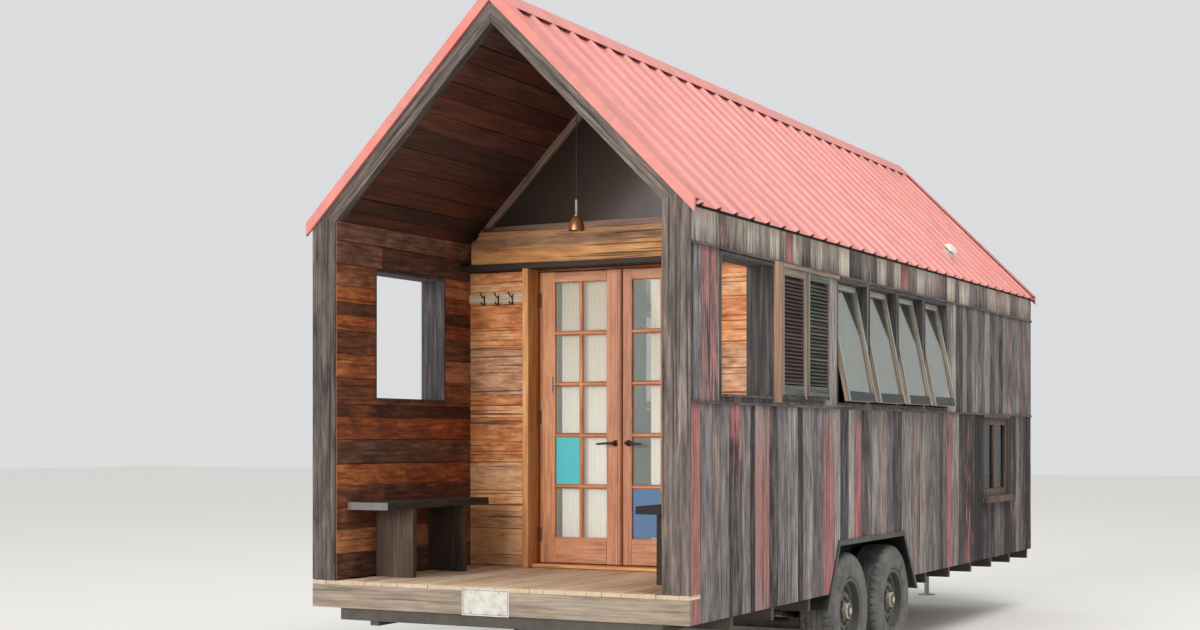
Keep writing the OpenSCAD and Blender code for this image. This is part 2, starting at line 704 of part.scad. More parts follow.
// The leaf's half of each hinge, the lever handle and the curtain rod
module leaf_hardware() {
    for (z = hinge_zs) {
        for (low = [-knuckle_low - knuckle_h, knuckle_low]) {
            translate([pin_x, porch_d - pin_out, z + low]) cylinder(h = knuckle_h, r = knuckle_r);
            slab([pin_x - 12, porch_d - 3.5, z + low], [pin_x, porch_d, z + low + knuckle_h]);
        }
        slab([pin_x - 40, porch_d - 3.5, z - 45], [pin_x - 10, porch_d, z + 45]);
    }
    rod_y(handle_x, porch_d - 8, porch_d, handle_z, 20);
    rod_y(handle_x, porch_d - 52, porch_d - 8, handle_z, 9);
    slab([handle_x, porch_d - 58, handle_z - 8], [handle_x + 112, porch_d - 46, handle_z + 8]);
    rod_x(leaf_in + 22, door_half - 22, curtain_y, curtain_rod_z, 5);
    for (x = [leaf_in + 22, door_half - 32])
        slab([x, porch_d + leaf_t, curtain_rod_z - 8], [x + 10, curtain_y + 6, curtain_rod_z + 8]);
}

module leaf_curtain()
    slab([leaf_in + 36, curtain_y - 5, leaf_z + 130], [door_half - 36, curtain_y + 5, curtain_rod_z - 5.3]);

module door_leaf_left() color("#9c5a31") on_leaf(-1) leaf(leaf_xs(meeting_w[0]));
module door_leaf_right() color("#9c5a31") on_leaf(1) leaf(leaf_xs(meeting_w[1]));
module door_glass_left() color([0.7, 0.8, 0.8, 0.35]) on_leaf(-1) leaf_glass(leaf_xs(meeting_w[0]));
module door_glass_right() color([0.7, 0.8, 0.8, 0.35]) on_leaf(1) leaf_glass(leaf_xs(meeting_w[1]));
module door_hardware_left() color("#1d1a18") on_leaf(-1) leaf_hardware();
module door_hardware_right() color("#1d1a18") on_leaf(1) leaf_hardware();
module curtain_left() color("#d9d5c8") on_leaf(-1) leaf_curtain();
module curtain_right() color("#d9d5c8") on_leaf(1) leaf_curtain();

// A plank seat on two plank legs, with its inner edge at x = 0
module bench(y) {
    slab([0, y, deck_z + bench_h - 45], [bench_w, y + bench_l, deck_z + bench_h]);
    for (leg = [y + 260, y + bench_l - 305])
        slab([0, leg, deck_z], [bench_w - 21, leg + 45, deck_z + bench_h - 45]);
}

module porch_benches() color("#3a2f2a") from_porch() {
    translate([bench_x, 0, 0]) bench(porch_d - bench_gap - bench_l);
    left_side() translate([bench_x, 0, 0]) bench(bench_start);
}

module coat_hook_rail() color("#c9b48c") from_porch() {
    x = -room_x + 8;
    z = deck_z + 1718;
    slab([x, porch_d - 19, z], [door_x - post_out - 9, porch_d, z + 52]);
    for (i = [0:2]) translate([x + 117 + i * 106, porch_d - 19, z]) {
        slab([-7, -3, -20], [7, 0, 50]);
        translate([0, 0, -12]) rotate([65, 0, 0]) cylinder(h = 42, r = 4);
        translate([0, 0, 30]) rotate([60, 0, 0]) cylinder(h = 58, r = 4);
    }
}

// Block under the porch ridge that the lamp hangs from
module lamp_rose() color("#3a2418") from_porch() along(lamp_y - rose_r, lamp_y + rose_r) polygon([
    [-rose_r, rose_z], [rose_r, rose_z], [rose_r, under(rose_r, ceiling_up)],
    [0, under(0, ceiling_up)], [-rose_r, under(rose_r, ceiling_up)]
]);

// Flex swept along its route with eight sides
module pendant_flex() color("#15120f") from_porch() {
    sides = 8;
    n = len(flex_route);
    around = [for (a = [0:sides - 1]) flex_r * [cos(a * 360 / sides), sin(a * 360 / sides), 0]];
    points = [for (p = flex_route) for (a = around) p + a];
    walls = [for (i = [0:n - 2]) for (a = [0:sides - 1]) [
        i * sides + a, i * sides + (a + 1) % sides, (i + 1) * sides + (a + 1) % sides, (i + 1) * sides + a
    ]];
    ends = [[for (a = [sides - 1:-1:0]) a], [for (a = [0:sides - 1]) (n - 1) * sides + a]];
    polyhedron(points = points, faces = concat(walls, ends));
}

// Copper dome with its socket and bulb
module pendant_lamp() color("#b8683a") from_porch() translate([0, lamp_y, socket_z]) {
    dome_r = 50;
    dome_h = 90;
    dome_z = -190;
    wall = [for (a = [15:15:90]) [dome_r * sin(a), dome_z + dome_h * cos(a)]];
    lining = [for (a = [90:-15:15]) [(dome_r - 3) * sin(a), dome_z + (dome_h - 4) * cos(a)]];
    translate([0, 0, -140]) cylinder(h = 140, r = 13);
    rotate_extrude() polygon(concat(wall, lining));
    translate([0, 0, -150]) sphere(r = 22);
}

module licence_plate() color("#e9e7df") from_porch()
    slab([plate_x - plate_w / 2, -3, plate_z], [plate_x + plate_w / 2, 0, plate_z + plate_w / 2 - 0.5]);

trailer_frame();
coupler();
tongue_jack();
axles();
leaf_springs();
fenders();
fender_rims();
wheel_rear_right();
wheel_front_right();
wheel_rear_left();
wheel_front_left();
tyre_rear_right();
tyre_front_right();
tyre_rear_left();
tyre_front_left();
floor_platform();
porch_deck();
rim_beam();
right_wall();
left_wall();
end_wall();
right_boards();
left_boards();
end_boards();
door_wall_left();
door_wall_right();
door_wall_top();
flashings();
porch_posts();
gable_rafters();
header_beam();
gable_frame();
gable_glass();
roof_right();
roof_left();
roof_sheet_right();
roof_sheet_left();
ridge_cap();
gable_trims();
roof_vent();
awning_sashes();
low_windows();
window_glass();
shutters();
window_linings();
door_frame();
door_leaf_left();
door_leaf_right();
door_glass_left();
door_glass_right();
door_hardware_left();
door_hardware_right();
curtain_left();
curtain_right();
porch_benches();
coat_hook_rail();
lamp_rose();
pendant_flex();
pendant_lamp();
licence_plate();
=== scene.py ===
import math

import bmesh
import bpy
import numpy as np
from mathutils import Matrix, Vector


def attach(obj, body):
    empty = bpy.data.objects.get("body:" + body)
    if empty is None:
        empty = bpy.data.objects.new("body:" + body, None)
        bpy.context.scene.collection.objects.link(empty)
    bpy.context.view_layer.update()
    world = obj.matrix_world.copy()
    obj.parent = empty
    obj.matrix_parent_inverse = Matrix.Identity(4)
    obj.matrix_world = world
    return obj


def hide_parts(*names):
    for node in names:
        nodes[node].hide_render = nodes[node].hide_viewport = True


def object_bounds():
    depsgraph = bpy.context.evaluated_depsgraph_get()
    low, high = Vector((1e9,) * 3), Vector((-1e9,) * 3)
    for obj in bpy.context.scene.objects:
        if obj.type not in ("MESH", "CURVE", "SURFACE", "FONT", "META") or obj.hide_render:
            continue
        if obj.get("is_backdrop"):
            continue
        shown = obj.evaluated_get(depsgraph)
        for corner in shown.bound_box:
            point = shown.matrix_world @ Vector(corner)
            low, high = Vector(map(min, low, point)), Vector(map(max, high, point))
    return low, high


print("loading the frame")
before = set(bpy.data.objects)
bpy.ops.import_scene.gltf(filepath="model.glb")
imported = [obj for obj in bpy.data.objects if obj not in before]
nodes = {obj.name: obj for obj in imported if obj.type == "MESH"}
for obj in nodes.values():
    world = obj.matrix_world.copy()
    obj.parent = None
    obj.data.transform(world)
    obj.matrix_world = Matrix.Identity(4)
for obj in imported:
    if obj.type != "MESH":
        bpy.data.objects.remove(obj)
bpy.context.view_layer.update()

# Sizes that several pieces share. Values of y here are measured from the porch face
house = dict(
    porchY=-4.305, halfW=1.220, coreX=1.200, roomX=1.060, length=7.400, boardsY=0.020, endY=7.380,
    deckZ=0.690, rimZ=0.530, porchD=1.510, ridgeZ=3.848, ceilingUp=0.017, bandLow=1.715, bandTop=2.563,
)
holes = dict(
    porch=(0.405, 1.195, 1.751, 2.548), low=(5.800, 6.590, 1.040, 1.690),
    shutters=[(1.297, 1.707, 1.765, 2.548), (1.727, 2.141, 1.765, 2.548)],
    awnings=[(2.287 + i * 0.630, 2.877 + i * 0.630, 1.735, 2.548) for i in range(4)],
    wheelBox=((2.098, 0.430), (2.320, 0.864), (3.690, 0.864), (4.006, 0.430)),
)
door = dict(
    x=0.067, inner=0.003, half=0.596, low=0.720, high=2.591, thick=0.040, reveal=0.607, post=0.650,
    stile=0.112, meeting={-1: 0.110, 1: 0.065}, bottomRail=0.165, topRail=0.066, bar=0.030, rows=5,
    hinges=(0.900, 1.6555, 2.411), pin=0.5995, handleU=0.046, handleZ=1.490,
)
# The porch face, and the face of the door wall towards the porch, as y in the frame
porchY, wallY = house["porchY"], house["porchY"] + house["porchD"]
chance = np.random.default_rng(41)


# Height of the roof plane p above the rafters' lower edge, at x from the ridge
def roofPlane(x, p):
    return house["ridgeZ"] + p * math.sqrt(2) - abs(x)


# A colour as it is seen, given as #rrggbb, turned into Blender's linear values
def tint(code):
    c = np.array([int(code[i:i + 2], 16) for i in (1, 3, 5)]) / 255
    return (*np.where(c < 0.04045, c / 12.92, ((c + 0.055) / 1.055) ** 2.4), 1.0)


# How a plank lies, as its axis, side and outward direction: upright or level on a wall seen from the porch,
# or flat with its grain along y
uprightWall = ((0, 0, 1), (1, 0, 0), (0, -1, 0))
levelWall = ((1, 0, 0), (0, 0, 1), (0, -1, 0))
flatAlong = ((0, 1, 0), (1, 0, 0), (0, 0, 1))


# Adds a node. Each input is a value, or another node's output to link to
def add(tree, kind, inputs=None, out=0, **settings):
    n = tree.nodes.new("ShaderNode" + kind)
    for key, value in settings.items():
        setattr(n, key, value)
    for key, value in (inputs or {}).items():
        if isinstance(value, bpy.types.NodeSocket):
            tree.links.new(value, n.inputs[key])
        else:
            n.inputs[key].default_value = value
    return n.outputs[out]


def calc(tree, operation, a, b=0.0, clamp=False):
    return add(tree, "Math", {0: a, 1: b}, operation=operation, use_clamp=clamp)


# Adds several values, each times its own weight
def weigh(tree, start, *pairs):
    total = start
    for value, weight in pairs:
        total = add(tree, "Math", {0: value, 1: weight, 2: total}, operation="MULTIPLY_ADD")
    return total


def ramp(tree, value, stops):
    n = tree.nodes.new("ShaderNodeValToRGB")
    tree.links.new(value, n.inputs[0])
    while len(n.color_ramp.elements) < len(stops):
        n.color_ramp.elements.new(0.5)
    for element, (place, colour) in zip(n.color_ramp.elements, stops):
        element.position, element.color = place, tint(colour)
    return n.outputs[0]


# 0 below low, 1 above high, smooth between
def step(tree, value, low, high):
    return add(tree, "MapRange", {0: value, 1: low, 2: high}, interpolation_type="SMOOTHSTEP")


def mix(tree, factor, a, b, mode="MIX"):
    return add(tree, "Mix", {0: factor, 6: a, 7: b}, out=2, data_type="RGBA", blend_type=mode)


def noise(tree, where, scale, detail=3.0, rough=0.55, twist=0.0):
    stretched = add(tree, "VectorMath", {0: where, 1: scale}, operation="MULTIPLY")
    return add(tree, "TexNoise", {"Vector": stretched, "Scale": 1.0, "Detail": detail, "Roughness": rough,
                                  "Distortion": twist})


def startMaterial(name, rough, metal=0.0):
    material = bpy.data.materials.new(name)
    material.use_nodes = True
    tree = material.node_tree
    shader = tree.nodes["Principled BSDF"]
    shader.inputs["Roughness"].default_value = rough
    shader.inputs["Metallic"].default_value = metal
    return material, tree, shader


# One colour all over, with other inputs of its shader
def plainMaterial(name, rough, colour, inputs=None):
    material, _, shader = startMaterial(name, rough)
    shader.inputs["Base Color"].default_value = tint(colour)
    for key, value in (inputs or {}).items():
        shader.inputs[key].default_value = value
    return material


# One colour below low, another above high, and other inputs of its shader
def heightMaterial(name, rough, metal, low, high, colours, inputs):
    material, tree, shader = startMaterial(name, rough, metal)
    z = add(tree, "SeparateXYZ", {0: add(tree, "TexCoord", out=3)}, out=2)
    colour = ramp(tree, step(tree, z, low, high), list(zip((0.0, 1.0), colours)))
    tree.links.new(colour, shader.inputs["Base Color"])
    for key, value in inputs.items():
        shader.inputs[key].default_value = value
    return material


def addBump(tree, shader, height, strength, distance):
    bump = add(tree, "Bump", {"Height": height, "Strength": strength, "Distance": distance})
    tree.links.new(bump, shader.inputs["Normal"])


# Where a point lies in the wood: x and z across the grain, y along it
def grainPlace(tree, along):
    if along == "map":
        return add(tree, "UVMap", uv_map="grain")
    place = add(tree, "TexCoord", out=3)
    x, y, z = (add(tree, "SeparateXYZ", {0: place}, out=i) for i in range(3))
    if along == "slope":
        flat = calc(tree, "ABSOLUTE", x)
        down = weigh(tree, 0.0, (flat, 0.7071), (z, -0.7071))
        square = weigh(tree, 0.0, (flat, 0.7071), (z, 0.7071))
        return add(tree, "CombineXYZ", {0: square, 1: down, 2: y})
    order = {"x": (y, x, z), "y": (x, y, z), "z": (x, z, y)}[along]
    return add(tree, "CombineXYZ", dict(enumerate(order)))


# Old timber. look: cool and warm are the dark, middle and light colours of grey and of warmer boards,
# paint is worn paint, lean how readily a board turns warm, rightwards how much lighter it gets per metre
# of x, which paints shade that darkens the left, and the rest are strengths. Boards carry a tone: red is
# how light, green how much paint, blue how warm
def timber(name, look, along="map", toned=True):
    look = dict(dict(rough=0.82, bump=0.5, fine=(200, 12), streak=(46, 2.2), blotch=(8, 1.6), crack=0.55, lean=-0.5,
                     rightwards=0.0, start=0.0, spread=1.0, paint=None, warm=None, cut=None, knots=0.0), **look)
    material, tree, shader = startMaterial(name, look["rough"])
    place = grainPlace(tree, along)
    scale = lambda pair: (pair[0], pair[1], pair[0])
    fine = noise(tree, place, scale(look["fine"]), 4.0)
    streak = noise(tree, place, scale(look["streak"]), 4.0, 0.6, 0.3)
    blotch = noise(tree, place, scale(look["blotch"]), 3.0, 0.6, 0.6)
    tone = add(tree, "Attribute", attribute_name="tone")
    light, paint, warmth = (add(tree, "SeparateColor", {0: tone}, out=i) for i in range(3))
    start = weigh(tree, -0.5 * look["spread"], (light, look["spread"])) if toned else look["start"]
    if look["rightwards"]:
        x = add(tree, "SeparateXYZ", {0: add(tree, "TexCoord", out=3)})
        start = weigh(tree, look["start"], (x, look["rightwards"]))
    value = weigh(tree, start, (streak, 1.3), (blotch, 0.7), (fine, 0.45))
    value = calc(tree, "SUBTRACT", value, 0.725, True)
    places = (0.05, 0.5, 0.95)
    colour = ramp(tree, value, list(zip(places, look["cool"])))
    if look["warm"]:
        warm = ramp(tree, value, list(zip(places, look["warm"])))
        share = weigh(tree, look["lean"], (warmth, 1.4), (blotch, 0.6)) if toned else blotch
        colour = mix(tree, calc(tree, "MULTIPLY", share, 1.0, True), colour, warm)
    if look["paint"]:
        coat = ramp(tree, weigh(tree, -0.2, (streak, 0.9), (fine, 0.5)), list(zip((0.2, 0.5, 0.8), look["paint"])))
        worn = weigh(tree, -3.35, (paint, 1.5), (streak, 3.0), (blotch, 1.6), (fine, 0.8))
        colour = mix(tree, step(tree, worn, 0.0, 0.6), colour, coat)
    split = noise(tree, place, scale((look["streak"][0] * 1.6, 0.8)), 2.0, 0.5, 0.2)
    crack = step(tree, split, 0.40, 0.33)
    colour = mix(tree, calc(tree, "MULTIPLY", crack, look["crack"]), colour, tint("#1d1512"))
    if look["knots"]:
        spot = add(tree, "VectorMath", {0: place, 1: (7.5, 2.6, 7.5)}, operation="MULTIPLY")
        cell = add(tree, "TexVoronoi", {"Vector": spot, "Scale": 1.0, "Randomness": 1.0}, voronoi_dimensions="2D")
        knot = step(tree, cell, 0.13, 0.03)
        colour = mix(tree, calc(tree, "MULTIPLY", knot, look["knots"]), colour, tint("#2a160c"))
    if look["cut"]:
        isCut = add(tree, "Attribute", attribute_name="cut", out=2)
        colour = mix(tree, calc(tree, "MULTIPLY", isCut, 0.75), colour, tint(look["cut"]))
    tree.links.new(colour, shader.inputs["Base Color"])
    height = weigh(tree, 0.0, (streak, 0.7), (fine, 0.5), (crack, -0.8))
    addBump(tree, shader, height, look["bump"], 0.004)
    return material


# Painted or bare metal with patches, specks and streaks of dirt. coat is the two paint colours,
# dirt the colour that gathers on it, and amount how much of it there is
def sheetMetal(name, coat, dirt, amount=0.3, rough=0.5, metal=0.0, scale=(6, 6, 6), bump=0.1, patch=2.5):
    material, tree, shader = startMaterial(name, rough, metal)
    place = add(tree, "TexCoord", out=3)
    broad = noise(tree, place, (patch, patch, patch), 4.0, 0.6, 0.4)
    grain = noise(tree, place, scale, 5.0, 0.65)
    speck = noise(tree, place, (140, 140, 140), 3.0)
    colour = ramp(tree, weigh(tree, -0.3, (broad, 1.0), (grain, 0.6)), [(0.25, coat[0]), (0.75, coat[1])])
    grime = step(tree, weigh(tree, -0.75 + amount, (grain, 0.9), (broad, 0.4), (speck, 0.3)), 0.0, 0.5)
    colour = mix(tree, calc(tree, "MULTIPLY", grime, 0.75), colour, tint(dirt))
    tree.links.new(colour, shader.inputs["Base Color"])
    addBump(tree, shader, weigh(tree, 0.0, (speck, 0.5), (grain, 0.5)), bump, 0.002)
    return material


def dress(material, *names):
    for name in names:
        nodes[name].data.materials.clear()
        nodes[name].data.materials.append(material)


def placeMesh(name, mesh, material, body, replaces=(), smooth=False):
    obj = bpy.data.objects.new(name, mesh)
    bpy.context.scene.collection.objects.link(obj)
    mesh.materials.append(material)
    if smooth:
        mesh.shade_smooth()
        mesh.set_sharp_from_angle(angle=0.6)
    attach(obj, body)
    if replaces:
        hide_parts(*replaces)
    return obj


def newMesh(name, points, faces):
    mesh = bpy.data.meshes.new(name)
    mesh.from_pydata(points, [], faces)
    return mesh


# Turns every face outwards, and first joins points that lie on each other if merge is set
def faceOutwards(mesh, merge=False):
    shape = bmesh.new()
    shape.from_mesh(mesh)
    if merge:
        bmesh.ops.remove_doubles(shape, verts=shape.verts, dist=1e-6)
    bmesh.ops.recalc_face_normals(shape, faces=shape.faces)
    shape.to_mesh(mesh)
    shape.free()


# A board's section as (side, out) points: square back, bevelled front edges
def boardSection(width, thick, bevel=0.003):
    w, b = width / 2, min(bevel, width / 6)
    return np.array([(-w + b, 0), (-w / 3, 0), (w / 3, 0), (w - b, 0), (w, -b), (w, -thick), (-w, -thick), (-w, -b)])


# A timber's section, bevelled on all four edges
def timberSection(width, thick, bevel=0.004):
    w, t, b = width / 2, thick, bevel
    return np.array([
        (-w + b, 0), (0, 0), (w - b, 0), (w, -b), (w, -t / 2), (w, -t + b),
        (w - b, -t), (0, -t), (-w + b, -t), (-w, -t + b), (-w, -t / 2), (-w, -b),
    ])


# One plank: its section carried along axis from low to high, which may differ from point to point.
# rise is how much lighter its end at high is than its other end
def plank(at, axis, side, out, section, low, high, tone=(0.5, 0.0, 0.3), paint=None, cut=1.0, rise=0.0):
    ones = np.ones(len(section))
    paint = (tone[1],) * 3 if paint is None else paint
    return dict(at=at, axis=axis, side=side, out=out, section=section, low=low * ones, high=high * ones,
                light=tone[0], warm=tone[2] * ones, paint=paint, rise=rise, cut=cut)


# A square piece of timber between two corners, its grain along the named axis
def beamBetween(low, high, along, tone=(0.5, 0.0, 0.3), bevel=0.003):
    low, high = np.array(low, float), np.array(high, float)
    size, middle = high - low, (low + high) / 2
    axis, side, out = np.eye(3)["xyz".index(along)], np.eye(3)[0 if along != "x" else 2], np.array((0, -1, 0))
    if along == "y":
        out = np.array((0, 0, 1))
    width, thick = abs(size @ side), abs(size @ out)
    at = middle - axis * (middle @ axis) + out * thick / 2
    return plank(at, axis, side, out, timberSection(width, thick, min(bevel, width / 5, thick / 5)), low @ axis,
                 high @ axis, tone)


# A beam on one side: outs are two distances outwards from middle, and ys are measured from the porch face
def sideBeam(side, middle, outs, ys, zs, along, tone):
    x0, x1 = sorted(middle + side * out for out in outs)
    return beamBetween((x0, porchY + ys[0], zs[0]), (x1, porchY + ys[1], zs[1]), along, tone)


# Joins planks into one mesh. A point is at + axis * l + side * u + out * v, where l runs from low to
# high in equal steps, and slow sines move u and pull the outer points of v inwards by up to wave
def joinPlanks(name, parts, material, body="house", replaces=(), steps=5, wave=0.0015):
    get = lambda key: np.array([p[key] for p in parts], float)
    section, low, high, warm = get("section"), get("low"), get("high"), get("warm")
    n, points = section.shape[:2]
    share = np.linspace(0, 1, steps)[None, :, None]
    run = low[:, None, :] + (high - low)[:, None, :] * share
    phase = chance.random((n, 1, points, 3)) * 6.283
    sway = np.sin(run * 2.1 + phase[:, :, :1, 0]) * wave
    dip = (0.5 + 0.5 * np.sin(run * 4.7 + phase[..., 1])) * wave * (section[:, None, :, 1] > -0.012)
    across = section[:, None, :, 0] + sway
    outward = section[:, None, :, 1] - dip
    spot = get("at")[:, None, None, :]
    spot = spot + get("axis")[:, None, None, :] * run[..., None] + get("side")[:, None, None, :] * across[..., None]
    spot = spot + get("out")[:, None, None, :] * outward[..., None]
    index = np.arange(n * steps * points).reshape(n, steps, points)
    nxt = np.roll(index, -1, axis=2)
    quads = np.stack([index[:, :-1], nxt[:, :-1], nxt[:, 1:], index[:, 1:]], axis=-1)
    caps = np.stack([index[:, 0, ::-1], index[:, -1]], axis=1)
    faces = quads.reshape(-1, 4).tolist() + caps.reshape(-1, points).tolist()
    gap = np.linalg.norm(np.roll(section, -1, axis=1) - section, axis=2)
    around = np.concatenate([np.zeros((n, 1)), np.cumsum(gap, axis=1)], axis=1)[:, None, :] + np.zeros((n, steps, 1))
    shift = chance.random((n, 2)) * 20
    a, b = around[:, :, :-1], around[:, :, 1:]
    u = np.stack([a[:, :-1], b[:, :-1], b[:, 1:], a[:, 1:]], axis=-1) + shift[:, None, None, None, 0]
    nextRun = np.roll(run, -1, axis=2)
    v = np.stack([run[:, :-1], nextRun[:, :-1], nextRun[:, 1:], run[:, 1:]], axis=-1) + shift[:, None, None, None, 1]
    capU = np.stack([section[:, ::-1, 0], section[..., 0]], axis=1) + shift[:, None, None, 0]
    capV = np.stack([section[:, ::-1, 1], section[..., 1]], axis=1) + shift[:, None, None, 1]
    uv = np.concatenate([np.stack([u, v], -1).reshape(-1, 2), np.stack([capU, capV], -1).reshape(-1, 2)])
    mesh = newMesh(name, spot.reshape(-1, 3), faces)
    mesh.uv_layers.new(name="grain").data.foreach_set("uv", uv.astype(np.float32).ravel())
    colour = np.ones((n, steps, points, 4), np.float32)
    colour[..., 0] = get("light")[:, None, None] + get("rise")[:, None, None] * (share - 0.5)
    colour[..., 2] = warm[:, None, :]
    coats = get("paint")
    knots = np.linspace(0, 1, coats.shape[1])
    colour[..., 1] = np.array([np.interp(share[0, :, 0], knots, c) for c in coats])[:, :, None]
    mesh.attributes.new("tone", "FLOAT_COLOR", "POINT").data.foreach_set("color", colour.ravel())
    cut = np.concatenate([np.zeros(quads.size // 4), np.repeat(get("cut"), 2)]).astype(np.float32)
    mesh.attributes.new("cut", "FLOAT", "FACE").data.foreach_set("value", cut)
    faceOutwards(mesh)
    return placeMesh(name, mesh, material, body, replaces)


# A solid of revolution: radius and height along a profile, turned about the axis through centre
def turned(name, profile, centre, axis, material, body, around=48, replaces=()):
    r, h = np.array(profile, float).T
    angle = np.linspace(0, 2 * np.pi, around, endpoint=False)
    axis = np.array(axis, float)
    first = np.cross(axis, (0.31, 0.52, 0.79))
    first /= np.linalg.norm(first)
    second = np.cross(axis, first)
    ring = np.cos(angle)[:, None] * first + np.sin(angle)[:, None] * second
    spot = np.array(centre) + r[None, :, None] * ring[:, None, :] + h[None, :, None] * axis
    count = len(r)
    index = np.arange(around * count).reshape(around, count)
    turn = np.roll(index, -1, axis=0)
    faces = np.stack([index[:, :-1], turn[:, :-1], turn[:, 1:], index[:, 1:]], -1).reshape(-1, 4)
    mesh = newMesh(name, spot.reshape(-1, 3), faces.tolist())
    faceOutwards(mesh, merge=True)
    return placeMesh(name, mesh, material, body, replaces, smooth=True)


# Round rods in one mesh. Each is (points, radius): rings of that radius stand square to the mean
# direction of the two segments that meet at a point, and a flat disc closes each end
def rods(name, paths, material, body="house", replaces=(), around=12):
    spots, faces, start = [], [], 0
    angle = np.linspace(0, 2 * np.pi, around, endpoint=False)[None, :, None]
    for points, radius in paths:
        points = np.array(points, float)
        run = np.gradient(points, axis=0)
        first = np.cross(run, (0.31, 0.52, 0.79))
        first /= np.linalg.norm(first, axis=1)[:, None]
        second = np.cross(run / np.linalg.norm(run, axis=1)[:, None], first)
        reach = np.broadcast_to(radius, len(points))[:, None, None]
        ring = points[:, None] + reach * (np.cos(angle) * first[:, None] + np.sin(angle) * second[:, None])
        index = start + np.arange(len(points) * around).reshape(-1, around)
        turn = np.roll(index, -1, axis=1)
        faces += np.stack([index[:-1], turn[:-1], turn[1:], index[1:]], -1).reshape(-1, 4).tolist()
        faces += [index[0, ::-1].tolist(), index[-1].tolist()]
        spots.append(ring.reshape(-1, 3))
        start += index.size
    mesh = newMesh(name, np.concatenate(spots), faces)
    faceOutwards(mesh)
    return placeMesh(name, mesh, material, body, replaces, smooth=True)


# Finishes
print("making the materials")
greyBoard = timber("grey_boards", dict(
    cool=("#1e1a1c", "#5d5757", "#938c8b"), warm=("#37292a", "#95857b", "#dccfbd"), lean=-0.65,
    streak=(42, 3.4), fine=(170, 16), blotch=(9, 2.4),
    paint=("#683c39", "#98625f", "#be8c88"), cut="#6f6862", rough=0.9, crack=0.75, spread=1.15))
porchBoard = timber("porch_boards", dict(
    cool=("#2a1812", "#664434", "#9c7c6a"), warm=("#4a1d0e", "#9a4d23", "#d68d53"),
    streak=(40, 5.0), blotch=(9, 4.0), fine=(170, 16), cut="#6b4a36", rough=0.66, bump=0.4, spread=0.95))
honeyBoard = timber("honey_boards", dict(
    cool=("#5f3d2a", "#ae7e5c", "#dab796"), warm=("#722f14", "#cc7a40", "#f0b982"),
    streak=(38, 7.0), blotch=(10, 6.0), fine=(170, 16), crack=0.8, cut="#a6763f", rough=0.6, bump=0.35, spread=0.85))
ceilingBoard = timber("ceiling_boards", dict(
    cool=("#1e110e", "#442920", "#664437"), warm=("#2b120b", "#552719", "#7b3e29"), rough=0.68, bump=0.35))
ceilingBlock = timber("ceiling_block", dict(cool=("#1c100d", "#43291f", "#654437"), rough=0.7), "y", toned=False)
deckBoard = timber("deck_boards", dict(
    cool=("#917c68", "#d3b79e", "#ecdbc8"), warm=("#9d734e", "#deb48a", "#f0d5b1"), cut="#a99a85", rough=0.75,
    bump=0.3, crack=0.35))
# rightwards makes the posts and rafters lighter towards +x: painted shade, darker on the left post and rafter
postLook = dict(cool=("#292423", "#665b55", "#988c84"), rough=0.9, bump=0.6, crack=0.75, streak=(40, 3.0),
                rightwards=0.074, start=-0.135)
postTimber = timber("post_timber", postLook, "z", toned=False)
rafterTimber = timber("rafter_timber", postLook, "slope", toned=False)
rimTimber = timber("rim_timber", dict(cool=("#5f5145", "#8b7d6d", "#a99c8c"), rough=0.85, bump=0.5), "x", toned=False)
beamTimber = timber("beam_timber", dict(
    cool=("#211814", "#6a4f3d", "#9c7a60"), warm=("#6f4118", "#b57b43", "#d6a46a"),
    streak=(34, 3.0), blotch=(9, 2.4), crack=0.9, rough=0.65, bump=0.7, cut="#8f6636"))
doorTimber = timber("door_timber", dict(
    cool=("#743d22", "#a86844", "#c68a64"), warm=("#834a24", "#ba7a4a", "#d39c6c"),
    rough=0.45, bump=0.2, crack=0.35, streak=(55, 3.0), blotch=(9, 3.0), cut="#b07048"))
casingTimber = timber("casing_timber", dict(
    cool=("#6a3212", "#9c5226", "#bd773f"), warm=("#8a5524", "#c28348", "#dfae76"), rough=0.55, bump=0.3, crack=0.4,
    cut="#a6763f"))
benchTimber = timber("bench_timber", dict(
    cool=("#15100e", "#3a302b", "#6b5f56"), warm=("#221913", "#4c3a2e", "#74604f"), rough=0.78, bump=0.7,
    cut="#a3a09c"))
paleTimber = timber("pale_timber", dict(cool=("#8f7c60", "#c4b394", "#e0d3b8"), rough=0.75))
liningTimber = timber("lining_timber", dict(cool=("#1d1b1c", "#454141", "#77716e"), rough=0.85), "z", toned=False)
windowTimber = timber("window_timber", dict(cool=("#2b1f1a", "#5a483f", "#84705f"), rough=0.85), "z", toned=False)
trimTimber = timber("trim_timber", dict(
    cool=("#372d2a", "#7a6c64", "#a3968b"), warm=("#5f4334", "#95705c", "#b5937d"), rough=0.85, cut="#8f8178"))
shutterTimber = timber("shutter_timber", dict(
    cool=("#21211c", "#45463e", "#84786d"), warm=("#1f1615", "#463532", "#604d48"),
    paint=("#353835", "#50554f", "#72776f"),
    rough=0.8, cut="#6f6862"))
sashTimber = timber("sash_timber", dict(
    cool=("#4f554f", "#7f857c", "#b3b5aa"), warm=("#73594b", "#a98b7a", "#cfb8a7"),
    paint=("#1c2122", "#2c3334", "#454b4b"),
    rough=0.65, crack=0.3, cut="#b39c8b"))
coreTimber = timber("wall_core", dict(cool=("#120e0d", "#241a16", "#3a2a22"), rough=0.9), "y", toned=False)
roomTimber = timber("room_timber", dict(cool=("#5b4630", "#927350", "#b89a72"), rough=0.7), "y", toned=False)

